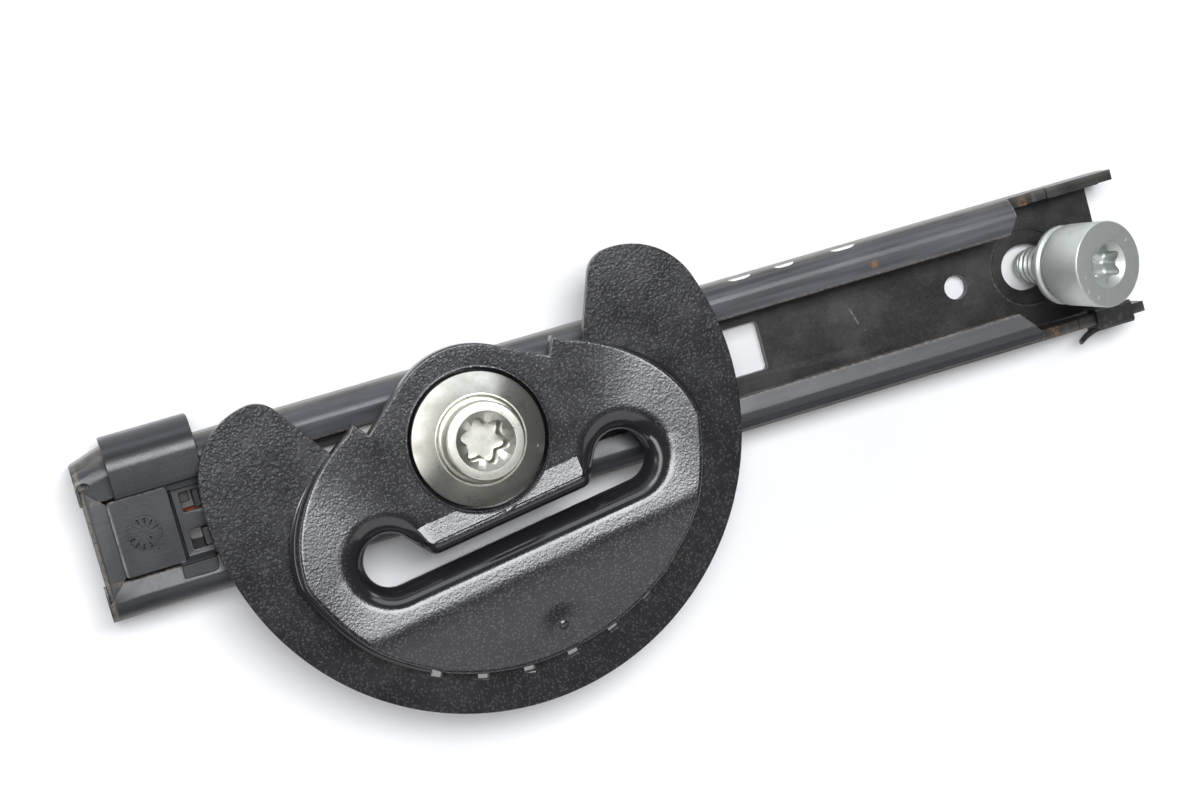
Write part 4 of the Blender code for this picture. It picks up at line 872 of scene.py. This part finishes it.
def guide_shape():
    """Rings from the slot's edge out over the face, down round the rim and the foot, and back
    under the hollow."""
    rim_half = np.array(rim_outline())
    slot_half = np.array(slot_outline())
    length = np.concatenate([[0], np.cumsum(np.hypot(*np.diff(slot_half[:, :2], axis=0).T))])
    # rim points that face a known place on the slot: the lip's end, the round end, the lower edge
    rim_keys = [0, 12, 19, 22, 52, 72, 73, len(rim_half) - 1]
    slot_keys = [0, length[21], length[28], length[31], length[57], length[71], length[72], length[-1]]
    at = np.interp(np.arange(len(rim_half)), rim_keys, slot_keys)
    slot = mirrored(np.stack([np.interp(at, length, slot_half[:, k]) for k in range(3)], 1))
    rim = mirrored(rim_half)
    outline = mirrored(slot_half)
    gap = np.hypot(*(rim[:, :2] - slot[:, :2]).T)
    direction = (rim[:, :2] - slot[:, :2]) / gap[:, None]
    edge_r, foot = rim[:, 2], rim[:, 3]
    end = gap - edge_r
    rows = []

    def face_row(distance):
        at = slot[:, :2] + direction * distance[:, None]
        z = face_height(at[:, 0], at[:, 1])
        d, reach = slot_distance(at[:, 0], at[:, 1], outline)
        t = np.clip(d / reach, 0, 1)
        funnel = (1 - (1 - t) ** 2.2) ** 0.8
        roll = np.sqrt(np.maximum(0, 1 - (1 - t) ** 2))
        lip = smooth_step((16.6 - np.abs(at[:, 0])) / 1.2) * (at[:, 1] < 16.2)
        share = funnel + (roll - funnel) * lip
        return np.stack([at[:, 0], at[:, 1], SLOT_FLOOR + (z - SLOT_FLOOR) * share], 1)

    near = np.concatenate([[0, 0.06, 0.15, 0.3, 0.5, 0.75], np.arange(1.05, 8.4, 0.35)])
    for d in near:
        rows.append(face_row(np.minimum(np.full(len(rim), d), end * 0.96)))
    for s in np.linspace(0, 1, 24)[1:]:
        rows.append(face_row(near[-1] + (end - near[-1]) * s))
    top = rows[-1][:, 2]

    def outer_row(out, z):
        rows.append(np.column_stack([slot[:, :2] + direction * (gap + out)[:, None], z]))

    for k in range(1, 7):
        a = math.pi / 2 * k / 6
        outer_row(edge_r * (math.sin(a) - 1), top - edge_r * (1 - math.cos(a)))
    # the foot sweeps out from the wall in a cove and ends in a square edge
    cove = 18.25
    cut = np.where((foot == 0) & (rim[:, 1] > 25), 17.9, 0)
    wall = top - edge_r
    for k in range(7):
        a = math.pi / 2 * k / 6
        outer_row(foot * 0.8 * (1 - math.cos(a)), np.minimum(wall, cove + 0.9 * (1 - math.sin(a))))
    for out, z in ((0.95, cove - 0.02), (1.0, cove - 0.15), (1.0, 17.3), (0.85, GUIDE_FOOT_Z)):
        outer_row(foot * out, np.maximum(z, cut))
    inward = gap - GUIDE_WALL
    for s in (1.0, 0.97, 0.5, 0.03, 0.0):
        at = slot[:, :2] + direction * (2.2 + (inward - 2.2) * s)[:, None]
        hollow = (at[:, 1] > 0) & (s < 0.99) & (s > 0.01)
        ceiling = np.maximum(GUIDE_FOOT_Z, face_height(at[:, 0], at[:, 1]) - GUIDE_WALL)
        z = np.where(hollow, ceiling, GUIDE_FOOT_Z)
        rows.append(np.column_stack([at, np.maximum(z, cut) if s > 0.99 else z]))
    rows.append(np.column_stack([slot[:, :2], np.full(len(rim), GUIDE_FOOT_Z)]))
    rows.append(np.column_stack([slot[:, :2], np.full(len(rim), SLOT_FLOOR - 0.5)]))
    return skin([[(u, -v, z) for u, v, z in row] for row in rows], along=True)


def guide_smooth(finish):
    """1 in the slot's funnel and on the foot, where the mould is polished."""
    u, v, z = finish.axes()
    u, v = abs(u), 0 - v
    ends = ((u - SLOT_HALF) ** 2 + (v - SLOT_CENTRE) ** 2) ** 0.5 - SLOT_END_R
    between = (v - SLOT_BOTTOM).most((LIP_V - v) * 1.8).most(u - SLOT_HALF)
    funnel = ends.least(between).ramp(4.2, 2.6)
    foot = z.ramp(18.9, 18.5)
    return funnel.most(foot)


guide_plastic = plastic("guide nylon", (0.012, 0.012, 0.014), 0.32, 0.030, 0.22, (0.13, 0.13, 0.15), 0.45,
                        bare=guide_smooth, turn=GUIDE_TURN, ior=1.6)
guide = piece("webbing_guide", guide_shape(), guide_plastic, turn=GUIDE_TURN, sharp=40)


def pad_shape():
    """The two pads on the slot's lip, drawn as one bar with rolled edges: the pivot's sink parts
    them."""
    v0, v1 = PAD_V
    back, front = 16.6, 15.05
    plan = fillet([(-back, v0), (-front - 0.3, LIP_V + 0.02), (front, LIP_V + 0.02), (15.3, v0)],
                  [0, 2.2, 2.2, 0], 8)
    rows = []
    for k in range(13):
        a = math.pi / 2 * (k / 12) ** 1.3
        row = []
        for u, v in plan:
            share = (v - v0) / (LIP_V - v0)
            inner_v = v - (LIP_V - v1) * share * (1 - math.sin(a))
            high = GUIDE_FACE_Z + PAD_SLOPE * (v0 + (v1 - v0) * share - v0)
            z = SLOT_FLOOR + (high - SLOT_FLOOR) * math.cos(a)
            row.append((u * (1 - 0.022 * (1 - math.sin(a))), -inner_v, z))
        rows.append(row)
    rows.append([(u, -v, SLOT_FLOOR - 0.4) for u, v in plan])
    return skin(rows)


shape_with(guide, "UNION", pad_shape(), turn=GUIDE_TURN)
web = [(8.5, 15.25), (14.1, 15.25), (14.1, 18.5), (8.5, 18.5)]
shape_with(guide, "UNION", turned(web + [web[0]], 96), turn=GUIDE_TURN)
round_cone = prism(arc((0, 0), 13.35, 0, 357, 119), GUIDE_FACE_Z - 0.25, GUIDE_CREST_Z + 3)
shape_with(guide, "DIFFERENCE", round_cone, turn=GUIDE_TURN)
rim_ring = fillet([(12.3, 19.0), (13.1, 19.0), (13.1, GUIDE_FACE_Z + 0.22), (12.3, GUIDE_FACE_Z + 0.22)],
                  [0, 0, 0.22, 0.1], 5)
shape_with(guide, "UNION", turned(rim_ring + [rim_ring[0]], 120), turn=GUIDE_TURN)
sink = prism(arc((0, 0), 12.68, 0, 357, 119), 16.8, GUIDE_CREST_Z + 4)
shape_with(guide, "DIFFERENCE", sink, turn=GUIDE_TURN)
shape_with(guide, "DIFFERENCE", prism(arc((0, 0), 8.52, 0, 352.5, 47), 13.0, GUIDE_CREST_Z), turn=GUIDE_TURN)
nub_z = float(face_height(np.array(DIMPLE[0]), np.array(DIMPLE[1])))
nub = [(0, nub_z - 1), (1.05, nub_z - 1), (1.05, nub_z - 0.02), (0.85, nub_z + 0.1), (0.6, nub_z + 0.22),
       (0.3, nub_z + 0.3), (0, nub_z + 0.32)]
shape_with(guide, "UNION", turned(nub, 32), GUIDE_TURN @ Vector((DIMPLE[0], -DIMPLE[1], 0)))
flatten(guide)
dress(guide, "guide", "belt_guide")

# Shield: a thin crescent of dull black plastic under the guide, with two lobes that keep the
# trim's slot covered and seven small windows for the guide's catches.
SHIELD_R = 49.3
SHIELD_Z = (14.95, 16.75)
SHIELD_WINDOWS = 7
WINDOW_STEP = 11.4             # degrees from one window to the next


def shield_outline():
    tip, tip_r = (34.9, -16.5), 5.0
    top = 16.5 + tip_r
    back_r = (SHIELD_R ** 2 - tip[0] ** 2 - top ** 2) / (2 * (SHIELD_R - top))
    back = (tip[0], back_r - top)
    meet = math.degrees(math.atan2(back[1], back[0]))
    points = arc((0, 0), 16.4, -90, -24, 24)
    side = arc(tip, tip_r, 208, 270, 14)
    lean = math.radians(28)
    foot = (side[0][0] - 12.4 * math.sin(lean), side[0][1] + 12.4 * math.cos(lean))
    points += [foot] + side + arc(back, back_r, 270, 360 + meet, 22)[1:]
    return points + arc((0, 0), SHIELD_R, meet, 90, 64)[1:]


def shield_opening():
    half, high, low, r = 30.6, 6.5, 24.2, 6.0
    hub = 14.4
    points = arc((0, 0), hub, -90, math.degrees(math.asin(high / hub)), 32)
    points += arc((half - r, high + r), r, -90, 0, 10) + arc((half - r, low - r), r, 0, 90, 10)
    return points + [(0.0, low)]


shield_plastic = plastic("shield plastic", (0.006, 0.006, 0.007), 0.34, 0.034, 0.25,
                         (0.10, 0.10, 0.105), 0.42, turn=GUIDE_TURN)
outline = [(u, -v) for u, v in mirrored(shield_outline())]
shield = piece("crescent_shield", prism(outline, *SHIELD_Z), shield_plastic, turn=GUIDE_TURN)
cuts = [prism([(u, -v) for u, v in mirrored(shield_opening())], 13, 18)]
for i in range(SHIELD_WINDOWS):
    spin = Matrix.Rotation(math.radians(1.5 - 90 + (i - SHIELD_WINDOWS // 2) * WINDOW_STEP), 4, "Z")
    window = box((GUIDE_LOWER_R - 1.4, GUIDE_LOWER_R + 0.65), (-0.98, 0.98), (13, 18))
    cuts.append(moved(window, spin))
shape_with(shield, "DIFFERENCE", several(*cuts), turn=GUIDE_TURN)
soften(shield, 0.3, 40, 3, clamp=True)
dress(shield, "guide", "guide_shield")

# Mounting bolt: a dull zinc-plated screw standing loose and leaning in its hole, with a rolled
# thread, a loose collar under the head and the same six-lobed recess.
BOLT_TIP = (114.8, 0.2, 1.0)
lean, heading = math.radians(19.3), math.radians(-16.2)
BOLT_LEAN = (Matrix.Rotation(heading, 4, "Z") @ Matrix.Rotation(lean, 4, "Y")
             @ Matrix.Rotation(-heading, 4, "Z"))
THREAD_R = 3.7
THREAD_END = 12.2
POINT_R = 2.8                  # radius of the thread's pointed tip
PITCH = 1.25
SEAT = 12.3
BOLT_TOP = SEAT + 0.3 + 10.4


def thread_shape():
    """Rolled thread from the pointed tip up to the collar."""
    steps, rows = 48, []
    levels = int(THREAD_END / PITCH * 12)
    for j in range(levels + 1):
        z = THREAD_END * j / levels
        row = []
        for i in range(steps):
            turn = i / steps
            phase = (z / PITCH - turn) % 1.0
            ridge = min(1.0, max(0.0, 1.35 - 2.7 * abs(phase - 0.5)))
            limit = POINT_R + min(1.0, z / 2.6) * (THREAD_R - POINT_R)
            if z > 10.6:
                ridge = 0.35
            r = min(limit, THREAD_R - 0.66 * (1 - ridge))
            row.append((r * math.cos(2 * math.pi * turn), r * math.sin(2 * math.pi * turn), z))
        rows.append(row)
    return skin(rows)


dull_zinc = turned_metal("dull zinc plate", (0.50, 0.52, 0.50), (0.38, 0.39, 0.37), 0.46, 0.5, 0.003,
                         BOLT_LEAN)
dull_zinc.shader.inputs["Metallic"].default_value = 0.75
screw = piece("mount_screw", thread_shape(), dull_zinc, BOLT_TIP, BOLT_LEAN, 40)
low = SEAT - 0.4
head = fillet([(0, low), (6.3, low), (7.7, low + 1.7), (8.05, BOLT_TOP), (0, BOLT_TOP)],
              [0, 0.3, 0.6, 0.30, 0], 5)
shape_with(screw, "UNION", turned(head, 96), BOLT_TIP, BOLT_LEAN)
drive_recess(screw, BOLT_TOP, 4.2, 20, 3.7, BOLT_TIP, BOLT_LEAN)
for x, y, angle in ((-6.1, -0.9, 80), (-5.9, -3.6, 60), (-3.9, -5.3, 60), (5.6, 3.4, 50)):
    tick = Matrix.Translation((x, y, BOLT_TOP)) @ Matrix.Rotation(math.radians(angle), 4, "Z")
    mark = moved(box((-0.45, 0.45), (-0.14, 0.14), (-0.15, 1)), tick)
    shape_with(screw, "DIFFERENCE", mark, BOLT_TIP, BOLT_LEAN)
dress(screw, "rail", "mount_bolt")
collar = fillet([(4.0, 10.4), (7.2, 10.4), (7.5, 10.8), (7.5, 11.6), (6.9, 12.0), (4.0, 12.0)],
                [0.1, 0.2, 0.2, 0.35, 0.3, 0.1], 4)
washer = piece("mount_collar", turned(collar + [collar[0]], 96), dull_zinc, BOLT_TIP, BOLT_LEAN)
dress(washer, "rail", "mount_washer")

# Keeper: a torn strip of black film folded over the lower ear, left from the bolt's retainer.
# Its tail curls down outside the ear.
keeper_film = plastic("keeper film", (0.010, 0.010, 0.011), 0.8, 0.03, 0.34)
finish_node("bolt_keeper", keeper_film)

# Studio: a pale seamless floor under a soft box, with low windows of light on the left and
# behind, and a dim ceiling in front.
floor_paint = Finish("studio floor", Roughness=0.9)
seen = floor_paint.node("LightPath", out="Is Camera Ray")
shiny = floor_paint.node("LightPath", out="Is Glossy Ray")
through = floor_paint.node("LightPath", out="Is Transmission Ray")
lift = seen.most(shiny).most(through) * 0.05
wash = floor_paint.noise(90, 2)
floor_paint.feed(Base_Color=floor_paint.mix(wash.ramp(0.3, 0.7), (0.76, 0.76, 0.775), (0.80, 0.80, 0.815)))
glow = floor_paint.node("Emission", inputs={"Color": (1.0, 1.0, 1.0), "Strength": 1.0})
surface = floor_paint.node("MixShader", inputs={0: lift, 1: Value(floor_paint, floor_paint.shader.outputs[0]),
                                                2: glow})
floor_paint.join(surface, floor_paint.tree.nodes["Material Output"].inputs["Surface"])
floor = piece("floor", skin([[(x, y, -0.05) for x in (-1500, 1500)] for y in (-1500, 1500)],
                            around=False, ends=False), floor_paint)
floor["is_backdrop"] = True


def soft_light(name, direction, distance, size, radiance, colour=(1, 1, 1)):
    """A rectangular lamp that faces the pivot, its width across the guide; its strength is its
    radiance."""
    light = bpy.data.lights.new(name, "AREA")
    light.shape = "RECTANGLE"
    light.size, light.size_y = size
    light.energy = radiance * math.pi * size[0] * size[1]
    light.color = colour
    lamp = bpy.data.objects.new(name, light)
    bpy.context.scene.collection.objects.link(lamp)
    back = Vector(direction).normalized()
    if back.z < 0.9:
        high = back.cross(Vector((0, 0, 1)).cross(back)).normalized()
    else:
        high = GUIDE_TURN @ Vector((0, 1, 0))
    wide = high.cross(back).normalized()
    high = back.cross(wide)
    place = Vector((PIVOT_X * MM + 0.02, 0, 0.02)) + back * distance
    lamp.matrix_world = Matrix.Translation(place) @ Matrix((wide, high, back)).transposed().to_4x4()


soft_light("overhead_softbox", (0.03, 0.28, 0.96), 0.9, (0.64, 0.32), 15.0, (0.96, 0.98, 1.0))
soft_light("left_window", (-0.82, 0.42, 0.33), 1.2, (2.8, 0.26), 5.0)
soft_light("back_window", (0.15, 0.95, 0.30), 1.3, (1.8, 0.5), 2.2, (0.9, 0.95, 1.0))
soft_light("front_ceiling", (0.10, -0.62, 0.78), 1.2, (1.6, 0.8), 1.1)

world = bpy.data.worlds.new("studio")
world.use_nodes = True
background = world.node_tree.nodes["Background"]
background.inputs["Color"].default_value = (0.95, 0.97, 1.0, 1)
background.inputs["Strength"].default_value = 0.12
bpy.context.scene.world = world

camera = bpy.data.objects.new("camera", bpy.data.cameras.new("camera"))
camera.data.lens = 75
camera.data.sensor_width = 36
camera.data.clip_start = 0.01
camera.location = Vector((-147.956, 42.893, 454.136)) * MM
camera.rotation_euler = [math.radians(a) for a in (-2.0535, -12.8542, -15.7077)]
bpy.context.scene.collection.objects.link(camera)
bpy.context.scene.camera = camera
bpy.context.scene.view_settings.view_transform = "Standard"

lines = []
for label, bounds in (("cad", cad_box), ("visual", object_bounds())):
    corners = [[round(float(c), 5) for c in corner] for corner in bounds]
    lines.append(f'"{label}": {corners}')
"{" + ",\n".join(lines) + "}\n"
